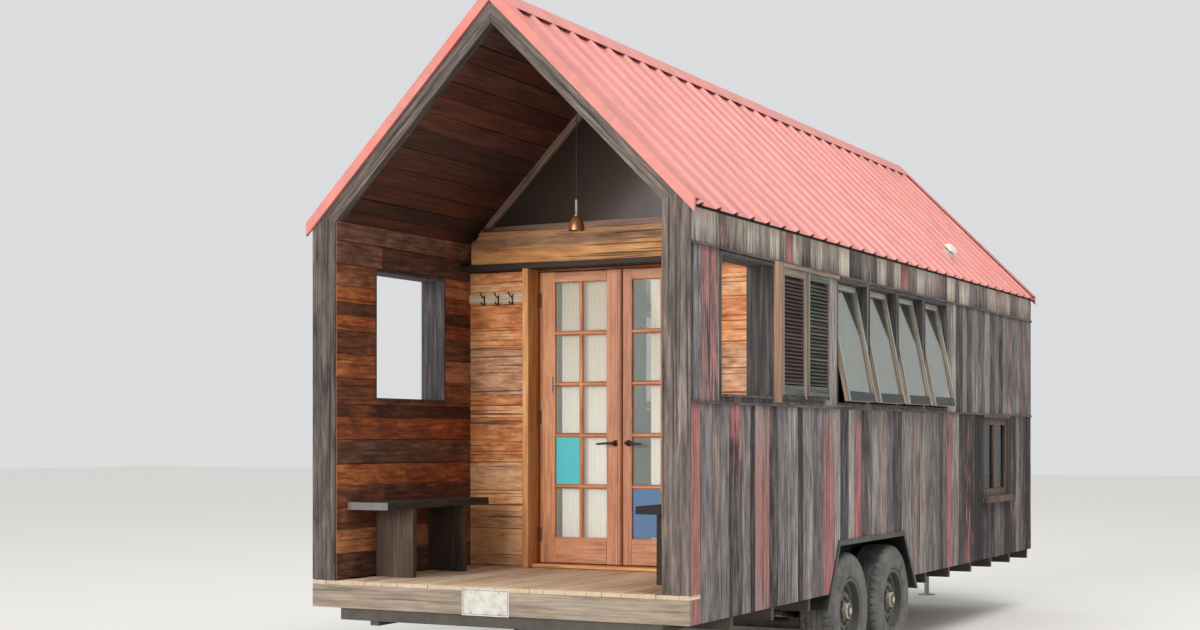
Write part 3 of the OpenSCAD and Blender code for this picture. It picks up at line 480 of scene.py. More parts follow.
roofRed = sheetMetal("roof_red", ("#cd736c", "#e2968e"), "#9f5b54", 0.16, 0.42, scale=(3, 8, 3))
trimRed = sheetMetal("trim_red", ("#c4685f", "#d68a80"), "#8e5149", 0.12, 0.45, scale=(5, 5, 5))
chassisBlack = sheetMetal("chassis_black", ("#141416", "#222224"), "#4f463c", 0.30, 0.6, scale=(8, 8, 8))
fenderBlack = sheetMetal("fender_black", ("#0a0b0b", "#161717"), "#4c504b", 0.14, 0.45, scale=(4, 4, 9))
wheelGrey = sheetMetal("wheel_grey", ("#5a5f5b", "#818680"), "#484239", 0.36, 0.55, metal=0.2, scale=(12, 12, 12))
capMetal = sheetMetal("cap_metal", ("#c9bfab", "#ece6d6"), "#8d826f", 0.2, 0.32, metal=0.5, scale=(20, 20, 20))
tyreRubber = sheetMetal("tyre_rubber", ("#28282b", "#404045"), "#77746f", 0.28, 0.85, scale=(9, 9, 9), patch=3.5)
zincMetal = sheetMetal("zinc", ("#8c9196", "#a9adb0"), "#6b675f", 0.25, 0.38, metal=0.85, scale=(10, 10, 10))
ventWhite = sheetMetal("vent_white", ("#dfdcd4", "#f3f1ea"), "#a49a8c", 0.2, 0.45, scale=(12, 12, 12))
flashingDark = sheetMetal("flashing_dark", ("#1a1817", "#34302e"), "#6b5f58", 0.2, 0.6, scale=(9, 3, 9))
ironBlack = sheetMetal("iron_black", ("#15120f", "#2a2520"), "#4c4038", 0.25, 0.45, metal=0.7, scale=(30, 30, 30))
hingeBronze = sheetMetal("hinge_bronze", ("#6b4029", "#8d5c3e"), "#3c261a", 0.25, 0.5, metal=0.2, scale=(30, 30, 30))
plateWhite = sheetMetal("plate_white", ("#bfbcb4", "#cbc9c2"), "#8c8679", 0.12, 0.35, scale=(20, 20, 20))
plateGrey = sheetMetal("plate_edge", ("#5c6166", "#7b8084"), "#4a463f", 0.2, 0.45, scale=(20, 20, 20))
copper = sheetMetal("lamp_copper", ("#a5683e", "#d59a69"), "#6e4426", 0.2, 0.35, metal=0.6, scale=(30, 30, 30))
paleMetal = sheetMetal("pale_metal", ("#9c938c", "#b7aea6"), "#776f66", 0.15, 0.4, scale=(30, 30, 30))
flexRubber = sheetMetal("flex_rubber", ("#171513", "#2a2724"), "#4a443d", 0.1, 0.7, scale=(30, 30, 30))

dress(chassisBlack, "trailer_frame", "coupler", "axles", "leaf_springs")
dress(zincMetal, "tongue_jack")
dress(fenderBlack, *[n for n in nodes if n.startswith("fender")])
dress(wheelGrey, *[n for n in nodes if n.startswith("wheel_")])
dress(coreTimber, "right_wall", "left_wall", "end_wall", "door_wall_left", "door_wall_right", "door_wall_top",
      "roof_right", "roof_left")
dress(roomTimber, "floor_platform")
dress(rimTimber, "rim_beam")
dress(postTimber, "porch_posts")
dress(rafterTimber, "gable_rafters")
dress(ceilingBlock, "lamp_rose")
dress(roofRed, "roof_sheet_right", "roof_sheet_left", "ridge_cap")
dress(trimRed, "gable_trims")
dress(ventWhite, "roof_vent")
dress(flashingDark, "flashings")
dress(windowTimber, "low_windows")
dress(liningTimber, "window_linings")
dress(plateWhite, "licence_plate")


# Cuts a board y0..y1, z0..z1 round the openings it meets, as rectangles (y0, y1, z0, z1)
def cutBoard(y0, y1, z0, z1, openings, splits=()):
    marks = [m for o in openings for m in o[:2]] + list(splits)
    ys = sorted({y0, y1, *[m for m in marks if y0 + 0.004 < m < y1 - 0.004]})
    pieces = []
    for a, b in zip(ys[:-1], ys[1:]):
        spans = [(z0, z1)]
        for o in openings:
            if o[0] < (a + b) / 2 < o[1]:
                parts = [s for low, high in spans for s in ((low, min(high, o[2])), (max(low, o[3]), high))]
                spans = [s for s in parts if s[1] - s[0] > 0.008]
        pieces += [(a, b, low, high) for low, high in spans]
    return pieces


# Outline of the wheel box, as its height at y
def wheelBoxAt(y):
    ys, zs = zip(*holes["wheelBox"])
    return float(np.interp(y, ys, zs)) if ys[0] < y < ys[-1] else 0.0


# Random board edges from start to stop, with tones
def randomBoards(start, stop, widths, warmth, red, light=(0.15, 0.85)):
    boards, edge = [], start
    while edge < stop - widths[0] / 2:
        edge = min(edge + chance.uniform(*widths), stop)
        if stop - edge < widths[0] / 2:
            edge = stop
        coat = (0.0, 0.0, 0.0)
        if chance.random() < red:
            coat = tuple(np.clip(chance.uniform(0.2, 1.0) + chance.uniform(-0.5, 0.3, 3), 0, 1))
        boards.append((edge, chance.uniform(*light), float(np.clip(chance.normal(warmth, 0.2), 0, 1)), *coat))
    return boards


# Boards given as (edge, light, warmth), then paint at the foot, middle and top if they have any. Wide
# ones are ripped in narrower ones
def ripBoards(start, boards, widest=0.19):
    ripped = []
    for edge, light, warmth, *coat in boards:
        count = max(1, math.ceil((edge - start) / widest))
        for k in range(1, count + 1):
            shade = chance.uniform(-0.12, 0.12) if count > 1 else 0.0
            ripped.append((start + (edge - start) * k / count, light + shade, warmth, *coat))
        start = edge
    return ripped


# Boards of a side wall from z0 to z1. The lowest row darkens beyond the wheels, and each board of the top
# row grows lighter upwards
shading = {"from": 5.0, "less": 0.25, "rise": 0.5}


# The last two corners are where the wheel box meets the foot of the boards
def uprightBoards(side, start, boards, z0, z1, openings):
    parts = []
    corners = [y for y, z in holes["wheelBox"]] + [2.149, 3.933]
    for edge, light, warmth, *coat in boards:
        recess, thick = chance.uniform(0.0, 0.004), house["halfW"] - house["coreX"]
        if z0 == house["rimZ"] and start > shading["from"]:
            light -= shading["less"]
        rise = shading["rise"] if z0 == house["bandTop"] else 0.0
        for a, b, low, high in cutBoard(start, edge, z0, z1, openings, corners if z0 == house["rimZ"] else ()):
            a, b = a + (0.0015 if a == start else 0.0), b - (0.0015 if b == edge else 0.0)
            section = boardSection(b - a, thick - recess, 0.0035)
            foot = np.interp(section[:, 0], [section[:, 0].min(), section[:, 0].max()],
                             [max(low, wheelBoxAt(a + 1e-4)), max(low, wheelBoxAt(b - 1e-4))])
            at = (side * (house["halfW"] - recess), porchY + (a + b) / 2, 0)
            parts.append(plank(at, (0, 0, 1), (0, 1, 0), (side, 0, 0), section, foot, high, (light, 0, warmth),
                               coat or (0, 0, 0), rise=rise))
        start = edge
    return parts


lowerRight = [
    (0.148, 0.55, 0.5, 1, 1, 1), (0.301, 0.62, 0.2), (0.421, 0.45, 0.5, 0.1, 0.4, 0.3), (0.543, 0.62, 0.2),
    (0.714, 0.2, 0.6, 0, 0.05, 1), (0.843, 0.6, 0.3), (0.915, 0.12, 0.4), (1.134, 0.6, 0.6, 0.65, 0.75, 0.5),
    (1.273, 0.2, 0.5), (1.434, 0.6, 0.2), (1.602, 0.68, 0.3), (1.682, 0.1, 0.7), (1.865, 0.62, 0.3),
    (2.049, 0.5, 0.2, 0.5, 0, 0), (2.241, 0.6, 0.4, 1, 1, 0.45), (2.360, 0.8, 0.3), (2.514, 0.3, 0.3),
    (2.633, 0.8, 0.4), (2.773, 0.5, 0.5, 1, 0.9, 0.4), (2.980, 0.35, 0.4), (3.150, 0.65, 0.3),
    (3.302, 0.5, 0.6, 0.45, 0.4, 0.2), (3.457, 0.5, 0.2), (3.639, 0.25, 0.4), (3.888, 0.65, 0.3),
    (4.060, 0.5, 0.5, 0.45, 0.4, 0.3), (4.230, 0.6, 0.4, 0.2, 0.3, 0.2), (4.546, 0.5, 0.2), (4.758, 0.35, 0.4),
    (4.910, 0.4, 0.5, 1, 1, 0.6), (5.100, 0.65, 0.3), (5.285, 0.5, 0.3), (5.420, 0.3, 0.7, 0.7, 0.5, 0.3),
    (5.569, 0.35, 0.6, 0.3, 0.3, 0), (5.783, 0.25, 0.3), (5.960, 0.5, 0.3), (6.164, 0.45, 0.4), (6.330, 0.7, 0.3),
    (6.490, 0.55, 0.3), (6.680, 0.2, 0.6), (6.877, 0.3, 0.5, 0.3, 0.2, 0), (7.000, 0.75, 0.5, 0.2, 0.1, 0),
    (7.128, 0.6, 0.4), (7.380, 0.25, 0.6, 0.3, 0.2, 0.2),
]
middleRight = [
    (0.052, 0.2, 0.3), (0.158, 0.62, 0.2, 0, 0, 0.1), (0.376, 0.5, 0.4, 0.6, 0.65, 0.75), (0.405, 0.7, 0.3),
    (1.195, 0.3, 0.3), (1.297, 0.6, 0.9), (1.717, 0.5, 0.3), (2.141, 0.5, 0.3), (2.287, 0.68, 0.35),
    (2.900, 0.6, 0.5, 0.1, 0.2, 0), (3.520, 0.5, 0.5), (4.160, 0.45, 0.4), (4.767, 0.4, 0.4), (5.003, 0.7, 0.4),
    (5.200, 0.35, 0.3), (5.320, 0.65, 0.3), (5.459, 0.3, 0.4), (5.640, 0.62, 0.3), (5.850, 0.4, 0.5),
    (6.010, 0.7, 0.3), (6.164, 0.3, 0.4), (6.300, 0.55, 0.2), (6.424, 0.2, 0.5), (6.590, 0.6, 0.3),
    (6.726, 0.4, 0.6, 0.3, 0.3, 0.3), (7.004, 0.55, 0.3), (7.218, 0.3, 0.5, 0.4, 0.4, 0.3), (7.380, 0.5, 0.4),
]
upperRight = [
    (0.198, 0.79, 0.5), (0.362, 0.66, 0.7), (0.400, 0.54, 0.6), (0.503, 0.35, 0.6, 0.6, 0.5, 0.3), (0.648, 0.54, 0.7),
    (0.796, 0.63, 0.7), (0.980, 0.76, 0.7), (1.137, 0.57, 0.6), (1.299, 0.76, 0.7), (1.398, 0.54, 0.8),
    (1.516, 0.48, 0.6, 1, 1, 1), (1.671, 0.66, 0.7), (1.812, 0.32, 0.8, 0.2, 0.2, 0.1), (1.902, 0.60, 0.7),
    (2.030, 0.72, 0.8), (2.218, 0.57, 0.7), (2.333, 0.66, 0.5), (2.530, 0.76, 0.8), (2.754, 0.35, 0.3),
    (2.985, 0.60, 0.5), (3.100, 0.44, 0.4), (3.301, 0.72, 0.7), (3.472, 0.48, 0.4), (3.624, 0.69, 0.7),
    (3.802, 0.48, 0.6, 1, 0.95, 0.9), (4.008, 0.51, 0.5), (4.184, 0.84, 0.6), (4.268, 0.57, 0.7), (4.438, 0.66, 0.7),
    (4.588, 0.57, 0.6), (4.765, 0.38, 0.7, 0.5, 0.5, 0.3), (4.974, 0.69, 0.9, 0.3, 0.2, 0), (5.107, 0.48, 0.5),
    (5.402, 0.80, 0.7), (5.560, 0.54, 0.5),
]
print("boarding the walls")
sideOpenings = [holes["porch"], holes["low"], *holes["shutters"], *holes["awnings"]]
rows = [
    (house["rimZ"], house["bandLow"], lowerRight),
    (house["bandLow"], house["bandTop"], middleRight),
    (house["bandTop"], 2.790, upperRight + randomBoards(5.560, house["endY"], (0.10, 0.19), 0.6, 0.12, (0.35, 0.8))),
]
parts, first = [], house["boardsY"]
for z0, z1, boards in rows:
    parts += uprightBoards(1, first, ripBoards(first, boards), z0, z1, sideOpenings)
joinPlanks("right_cladding", parts, greyBoard, replaces=("right_boards",), steps=7)
parts = []
for z0, z1, _ in rows:
    warmth, light = (0.6, (0.42, 0.78)) if z0 == house["bandTop"] else (0.35, (0.22, 0.7))
    boards = randomBoards(first, house["endY"], (0.09, 0.19), warmth, 0.14, light)
    parts += uprightBoards(-1, first, boards, z0, z1, sideOpenings)
joinPlanks("left_cladding", parts, greyBoard, replaces=("left_boards",), steps=7)


# Boards of the end wall. Their tops follow the roof
def endBoards():
    parts = []
    for z0, z1 in ((house["rimZ"], house["bandLow"]), (house["bandLow"], house["bandTop"]), (house["bandTop"], None)):
        start = -house["halfW"]
        warmth, light = (0.55, (0.42, 0.78)) if z0 == house["bandTop"] else (0.35, (0.22, 0.7))
        for edge, shade, warm, *coat in randomBoards(start, -start, (0.10, 0.19), warmth, 0.14, light):
            recess = chance.uniform(0.0, 0.004)
            for a, b in ((start, edge),) if start * edge >= 0 else ((start, 0.0), (0.0, edge)):
                section = boardSection(b - a - 0.0025, 0.020 - recess, 0.0035)
                top = z1 or roofPlane((a + b) / 2 + section[:, 0] * 0, 0.113) - section[:, 0] * np.sign(a + b)
                at = ((a + b) / 2, porchY + house["length"] - recess, 0)
                parts.append(plank(at, (0, 0, 1), (1, 0, 0), (0, 1, 0), section, z0, top, (shade, 0, warm), coat))
            start = edge
    return parts


joinPlanks("end_cladding", endBoards(), greyBoard, replaces=("end_boards",), steps=7)

# Boards that lie along the wall, given as (top edge, light, warmth)
leftLining = [
    (0.840, 0.3, 0.2), (0.985, 0.75, 0.6), (1.111, 0.3, 0.4), (1.239, 0.45, 0.4), (1.369, 0.6, 0.9),
    (1.511, 0.42, 0.15), (1.647, 0.4, 0.8), (1.722, 0.25, 0.5), (1.879, 0.3, 0.5), (2.022, 0.55, 0.8),
    (2.158, 0.3, 0.4), (2.250, 0.5, 0.8), (2.324, 0.3, 0.3), (2.422, 0.6, 0.9), (2.550, 0.6, 0.5), (2.686, 0.55, 0.2),
    (2.800, 0.65, 0.2),
]
honeyLining = [
    (0.749, 0.8, 0.7), (0.932, 1.0, 0.9), (1.044, 0.8, 0.6), (1.181, 0.9, 0.9), (1.365, 0.8, 0.5), (1.411, 0.6, 0.8),
    (1.653, 0.55, 0.9), (1.735, 0.7, 0.8), (1.804, 0.5, 0.7), (2.099, 0.6, 0.3), (2.243, 0.65, 0.9),
    (2.394, 0.5, 0.95), (2.479, 0.75, 0.6), (2.532, 0.8, 0.7), (2.609, 0.65, 0.9),
]
liningThick = 0.010


# It also covers the inner side of the post, on a strip of the post's own timber
def sideLining(side, boards):
    parts, start = [], house["deckZ"]
    for edge, light, warmth in boards:
        opening = [(holes["porch"][2], holes["porch"][3], holes["porch"][0], holes["porch"][1])]
        joint = chance.uniform(0.3, 1.2)
        for a, b, low, high in cutBoard(start, edge, 0.008, house["porchD"], opening):
            a, b = a + (0.001 if a == start else 0.0), b - (0.001 if b == edge else 0.0)
            recess = chance.uniform(0, 0.003)
            at = (side * (house["roomX"] - liningThick + recess), 0, (a + b) / 2)
            section = boardSection(b - a, liningThick - recess, 0.003)
            for first, last, change in ((low, min(high, joint), 0.0), (max(low, joint), high, 1.0)):
                if last - first > 0.04:
                    tone = (light + change * chance.uniform(-0.2, 0.2), 0,
                            warmth + change * chance.uniform(-0.45, 0.3))
                    parts.append(plank(at, (0, 1, 0), (0, 0, 1), (-side, 0, 0), section, porchY + first + 0.0005,
                                       porchY + last - 0.0005, tone))
        start = edge
    return parts


joinPlanks("left_lining", sideLining(-1, leftLining), porchBoard, steps=6)
mirrored = [(edge, chance.uniform(0.2, 0.65), chance.uniform(0.1, 0.9)) for edge, *_ in leftLining]
joinPlanks("right_lining", sideLining(1, mirrored), porchBoard, steps=6)
strips = [sideBeam(side, 0, (1.0605, 1.0795), (0.010, 0.139), (0.691, 2.780), "z", (0.35, 0, 0.2))
          for side in (-1, 1)]
joinPlanks("post_strips", strips, greyBoard, wave=0)

doorSpan = door["post"] + 0.001
parts, start = [], house["deckZ"]
for edge, light, warmth in honeyLining:
    for a, b in ((-house["roomX"] + liningThick, door["x"] - doorSpan),
                 (door["x"] + doorSpan, house["roomX"] - liningThick)):
        section = boardSection(edge - start - 0.002, liningThick, 0.003)
        at = (0, wallY - liningThick, (start + edge) / 2)
        parts.append(plank(at, *levelWall, section, a, b, (light, 0, warmth)))
    start = edge
joinPlanks("door_wall_lining", parts, honeyBoard, steps=5)

# Ceiling boards run from the gable to the door wall, under each slope
parts = []
for side in (-1, 1):
    down, square = np.array((side, 0, -1)) / math.sqrt(2), np.array((side, 0, 1)) / math.sqrt(2)
    edge = 0.012
    while edge < 1.46:
        width = min(chance.uniform(0.10, 0.15), 1.495 - edge)
        middle = np.array((0, 0, house["ridgeZ"])) + down * (edge + width / 2)
        middle = middle + square * (house["ceilingUp"] - liningThick)
        section = boardSection(width - 0.002, liningThick, 0.003)
        parts.append(plank(middle, (0, 1, 0), down, -square, section, porchY + 0.060, wallY + 0.02,
                           (chance.uniform(0.2, 0.7), 0, chance.uniform(0, 1))))
        edge += width
joinPlanks("ceiling_boards", parts, ceilingBoard, steps=6)

# Deck boards run from the porch face to the doors
parts, edge = [], -house["halfW"]
while edge < house["halfW"] - 0.02:
    width = min(chance.uniform(0.085, 0.14), house["halfW"] - edge)
    out = abs(edge + width / 2)
    length = house["porchD"] if out < house["roomX"] else 0.020 if out > house["coreX"] else 0.138
    at = (edge + width / 2, 0, house["deckZ"] - chance.uniform(0, 0.002))
    section = boardSection(width - 0.003, 0.0245, 0.002)
    parts.append(plank(at, *flatAlong, section, porchY, porchY + length,
                       (chance.uniform(0.35, 0.8), 0, chance.uniform(0.1, 0.8))))
    edge += width
joinPlanks("deck_boards", parts, deckBoard, replaces=("porch_deck",), steps=6)

# Over the doors: a plate from wall to wall, given a dark tone as painted shade under the beam, and on it
# the old beam, whose top corners are cut off to the slope. Its warmth falls from the golden foot to the grey top
front = porchY + 1.371
joinPlanks("door_plate", [beamBetween((-1.059, front, 2.6105), (1.059, wallY - 0.001, 2.6455), "x", (-0.25, 0, 0.4))],
           ceilingBoard)
across = np.array((-0.098, -0.05, 0, 0.02, 0.05, 0.08, 0.098, 0.105, 0.105, 0, -0.105, -0.105))
depth = np.array((0, 0, 0, 0, 0, 0, 0, -0.008, -0.138, -0.138, -0.138, -0.008))
reach = 0.963 - np.maximum(across - 0.02, 0)
oldBeam = plank((0, front, 2.7515), *levelWall, np.stack([across, depth], -1), -reach, reach, (0.5, 0, 0))
oldBeam["warm"] = np.interp(across, (-0.105, -0.02, 0.03, 0.105), (1.0, 0.9, 0.2, 0.6))
joinPlanks("old_beam", [oldBeam], beamTimber, replaces=("header_beam",), steps=28, wave=0.004)

# Boards beside the beam, and the frame of the pane above it: two members on the slope and one level
parts = []
for side in (-1, 1):
    for k in range(2):
        inner, outer = 0.880 + 0.085 * k, 0.962 + 0.085 * k
        parts.append(beamBetween((min(side * inner, side * outer), wallY - 0.008, 2.646),
                                 (max(side * inner, side * outer), wallY, 3.868 - outer), "z", (0.4, 0, 0.4)))
joinPlanks("beam_end_boards", parts, porchBoard)
parts = []
for side in (-1, 1):
    down, square = np.array((side, 0, -1)) / math.sqrt(2), np.array((side, 0, 1)) / math.sqrt(2)
    section = timberSection(0.050, 0.060, 0.003)
    rise = section[:, 0] - 0.008
    parts.append(plank(np.array((0, wallY, house["ridgeZ"])) - square * 0.008, down, square, (0, -1, 0), section,
                       -rise, rise + 1.4015, (0.6, 0, 0.6)))
section = timberSection(0.050, 0.060, 0.003)
reach = 3.872 - 2.882 - section[:, 0]
parts.append(plank((0, wallY + 0.001, 2.882), *levelWall, section, -reach, reach, (0.5, 0, 0.5)))
joinPlanks("pane_frame", parts, trimTimber, replaces=("gable_frame",))

# Benches, each a seat on two legs. The right one lies in the shade
bench = dict(inner=0.305, starts={1: 0.300, -1: 0.100}, length=1.140, top=1.145, thick=0.045, seat=0.286,
             leg=0.265, legs=(0.260, 0.835))
looks = {1: dict(seat=0.05, legs=0.1, cut=0.0), -1: dict(seat=0.35, legs=0.36, cut=0.45)}
parts = []
for side, first in bench["starts"].items():
    inner, look = side * (house["roomX"] - bench["inner"]), looks[side]
    parts.append(plank((inner + side * bench["seat"] / 2, 0, bench["top"]), *flatAlong,
                       timberSection(bench["seat"], bench["thick"]), porchY + first, porchY + first + bench["length"],
                       (look["seat"], 0, 0.05), cut=look["cut"]))
    for leg in bench["legs"]:
        parts.append(plank((inner + side * bench["leg"] / 2, porchY + (first + leg), 0), *uprightWall,
                           timberSection(bench["leg"], bench["thick"]), house["deckZ"], bench["top"] - bench["thick"],
                           (look["legs"], 0, 0.9)))
joinPlanks("plank_benches", parts, benchTimber, replaces=("porch_benches",), steps=8, wave=0.002)

# Rail with three black double hooks
hooks = dict(left=-1.052, right=-0.592, low=2.408, high=2.460, places=(-0.935, -0.829, -0.723))
rail = beamBetween((hooks["left"], wallY - 0.019, hooks["low"]), (hooks["right"], wallY - 0.0002, hooks["high"]), "x",
                   (0.6, 0, 0))
joinPlanks("coat_rail", [rail], paleTimber, replaces=("coat_hook_rail",))
hookCurves = [
    ((0.022, 2.456), (0.023, 2.430), (0.022, 2.392)),
    ((0.022, 2.404), (0.040, 2.392), (0.056, 2.398), (0.060, 2.414)),
    ((0.022, 2.438), (0.048, 2.446), (0.066, 2.460), (0.071, 2.472)),
]
paths = [([(x, wallY - out, z) for out, z in curve], 0.0045) for x in hooks["places"] for curve in hookCurves]
rods("coat_hooks", paths, ironBlack)

# Pendant lamp: a flex down from the ridge, a pale socket, a copper dome and a bulb
lamp = dict(y=porchY + 1.020, top=3.81204, flex=0.835, dome=0.050, inside=0.047, rim=-0.19)
socketZ = lamp["top"] - lamp["flex"]
route = [(0, lamp["y"], lamp["top"] - lamp["flex"] * i / 15) for i in range(16)]
flex = rods("lamp_flex", [(route, 0.003)], flexRubber, replaces=("pendant_flex",))
socket = turned("lamp_socket",
                [(0, 0), (0.005, 0), (0.0075, -0.006), (0.0075, -0.074), (0.005, -0.080), (0.005, -0.086),
                 (0.011, -0.090), (0.012, -0.1), (0, -0.1)], (0, lamp["y"], socketZ), (0, 0, 1), paleMetal, "house")
bend = np.linspace(0.2, np.pi / 2, 14)
dome = [(lamp["dome"] * math.sin(a), lamp["rim"] + 0.09 * math.cos(a)) for a in bend]
inside = [(lamp["inside"] * math.sin(a), lamp["rim"] + 0.086 * math.cos(a)) for a in bend[::-1]]
turned("lamp_dome", [(0.0, -0.098)] + dome + inside + [(0.0, -0.104)], (0, lamp["y"], socketZ), (0, 0, 1), copper,
       "house",
       replaces=("pendant_lamp",))
turned("lamp_bulb",
       [(0, -0.172), (0.011, -0.169), (0.019, -0.161), (0.022, -0.15), (0.019, -0.139), (0.012, -0.128),
        (0.009, -0.103), (0, -0.103)],
       (0, lamp["y"], socketZ), (0, 0, 1), paleMetal, "house")


print("making the doors")
glass = plainMaterial("clear_glass", 0.03, "#cfd8d3", {"Alpha": 0.18})
# The glass is darker below 1.66 m than above 1.70 m: a painted reflection, the low windows mirroring darker
# surroundings than the awnings
windowGlass = heightMaterial("window_glass", 0.02, 0.9, 1.66, 1.70, ("#3c4139", "#cdd1c7"), {"Alpha": 0.42})
# The gable pane is an opaque dark brown with a weak reflection: painted shade for the dark room seen through it
darkGlass = plainMaterial("dark_glass", 0.22, "#3e322d", {"Specular IOR Level": 0.2})
paneBlue = plainMaterial("blue_pane", 0.35, "#56759c", {"Specular IOR Level": 0.15})
paneTeal = plainMaterial("teal_pane", 0.35, "#50b3bb", {"Specular IOR Level": 0.15})
# The cloth turns from pale below 1.3 m to tan above 2.6 m: painted shade on the curtains' tops
cloth = heightMaterial("curtain_cloth", 0.9, 0.0, 1.3, 2.6, ("#f6f2e8", "#c9b79d"), {"Sheen Weight": 0.3})
dress(glass, "door_glass_left", "door_glass_right")
dress(windowGlass, "window_glass")
dress(darkGlass, "gable_glass")


# Stiles, rails and glazing bars of a leaf. u runs outwards from the line where the leaves meet
def leafParts(side):
    d, parts = door, []

    def upright(u0, u1, low, high, section, tone, deep=0.0):
        parts.append(plank((d["x"] + side * (u0 + u1) / 2, wallY + deep, 0), *uprightWall, section, low, high, tone))

    def level(z0, z1, u0, u1, section, tone, deep=0.0):
        ends = sorted((d["x"] + side * u0, d["x"] + side * u1))
        parts.append(plank((0, wallY + deep, (z0 + z1) / 2), *levelWall, section, *ends, tone))

    u0, u1 = d["inner"] + d["meeting"][side], d["half"] - d["stile"]
    for a, b, warmth in ((d["inner"], u0, 0.2), (u1, d["half"], 0.8)):
        upright(a, b, d["low"], d["high"], timberSection(b - a, d["thick"], 0.003),
                (chance.uniform(0.45, 0.6), 0, warmth))
    if side < 0:
        upright(0.006, 0.033, d["low"] + 0.004, d["high"] - 0.004, timberSection(0.027, 0.012, 0.005), (0.35, 0, 0.1),
                -0.008)
    z0, z1 = d["low"] + d["bottomRail"], d["high"] - d["topRail"]
    level(d["low"], z0, u0, u1, timberSection(d["bottomRail"], d["thick"] - 0.001, 0.003), (0.6, 0, 0.3), 0.0005)
    level(z1, d["high"], u0, u1, timberSection(d["topRail"], d["thick"] - 0.001, 0.003), (0.4, 0, 0.6), 0.0005)
    bar = timberSection(d["bar"], d["thick"] - 0.008, 0.009)
    upright((u0 + u1 - d["bar"]) / 2, (u0 + u1 + d["bar"]) / 2, z0, z1, bar, (0.5, 0, 0.5), 0.004)
    for k in range(1, d["rows"]):
        z = z0 + (z1 - z0) * k / d["rows"]
        level(z - d["bar"] / 2, z + d["bar"] / 2, u0, u1, bar, (0.5, 0, 0.4), 0.0045)
    return parts


for side, word in ((-1, "left"), (1, "right")):
    joinPlanks("leaf_joinery_" + word, leafParts(side), doorTimber, "door_" + word,
               ("door_leaf_" + word,), steps=4, wave=0.0006)


# A coloured pane fills one light of a leaf, in front of the clear glass
def colouredPane(name, side, row, outer, material, body):
    d, glassY = door, wallY + 0.0142
    u0, u1 = d["inner"] + d["meeting"][side], d["half"] - d["stile"]
    middle, rise = (u0 + u1) / 2, (d["high"] - d["topRail"] - d["low"] - d["bottomRail"]) / d["rows"]
    span = (middle + 0.013, u1 + 0.002) if outer else (u0 - 0.002, middle - 0.013)
    high = d["high"] - d["topRail"] - rise * (row - 1)
    x0, x1 = sorted(d["x"] + side * u for u in span)
    joinPlanks(name, [beamBetween((x0, glassY, high - rise + 0.013), (x1, glassY + 0.0022, high - 0.013), "z",
                                  bevel=0.0004)],
               material, body, steps=2, wave=0)


colouredPane("teal_pane", -1, 4, True, paneTeal, "door_left")
colouredPane("blue_pane", 1, 5, False, paneBlue, "door_right")

# Doorway: two deep posts, jambs, stops, head and threshold, and the frame's half of each hinge
parts, plates, pins = [], [], []
for side in (-1, 1):
    parts += [
        sideBeam(side, door["x"], (door["reveal"], door["post"]), (1.372, 1.510), (0.690, 2.610), "z",
                 (0.55, 0, 0.9)),
        sideBeam(side, door["x"], (0.601, 0.625), (1.511, 1.620), (0.690, 2.616), "z", (0.4, 0, 0.1)),
        sideBeam(side, door["x"], (0.587, 0.6015), (1.555, 1.570), (0.690, 2.616), "z", (0.4, 0, 0.1)),
    ]
    for z in door["hinges"]:
        plates.append(sideBeam(side, door["x"], (door["pin"], door["reveal"]), (1.5065, 1.510),
                               (z - 0.015, z + 0.015),
                               "z", (0.5, 0, 0)))
        pins.append(([(door["x"] + side * door["pin"], porchY + 1.5025, z + h)
                      for h in (-0.015, -0.014, 0.014, 0.015)],
                     (0.005, 0.006, 0.006, 0.005)))
left, right = door["x"] - door["reveal"], door["x"] + door["reveal"]
parts += [
    beamBetween((left + 0.006, wallY + 0.001, 2.596), (right - 0.006, wallY + 0.110, 2.616), "x", (0.4, 0, 0.2)),
    beamBetween((left, wallY - 0.090, 0.6905), (right, wallY + 0.110, 0.713), "x", (0.6, 0, 0.9), 0.006),
]
joinPlanks("doorway_joinery", parts, casingTimber, replaces=("door_frame",), wave=0.001)
joinPlanks("frame_hinge_plates", plates, hingeBronze, steps=2, wave=0)
rods("frame_hinge_knuckles", pins, hingeBronze)

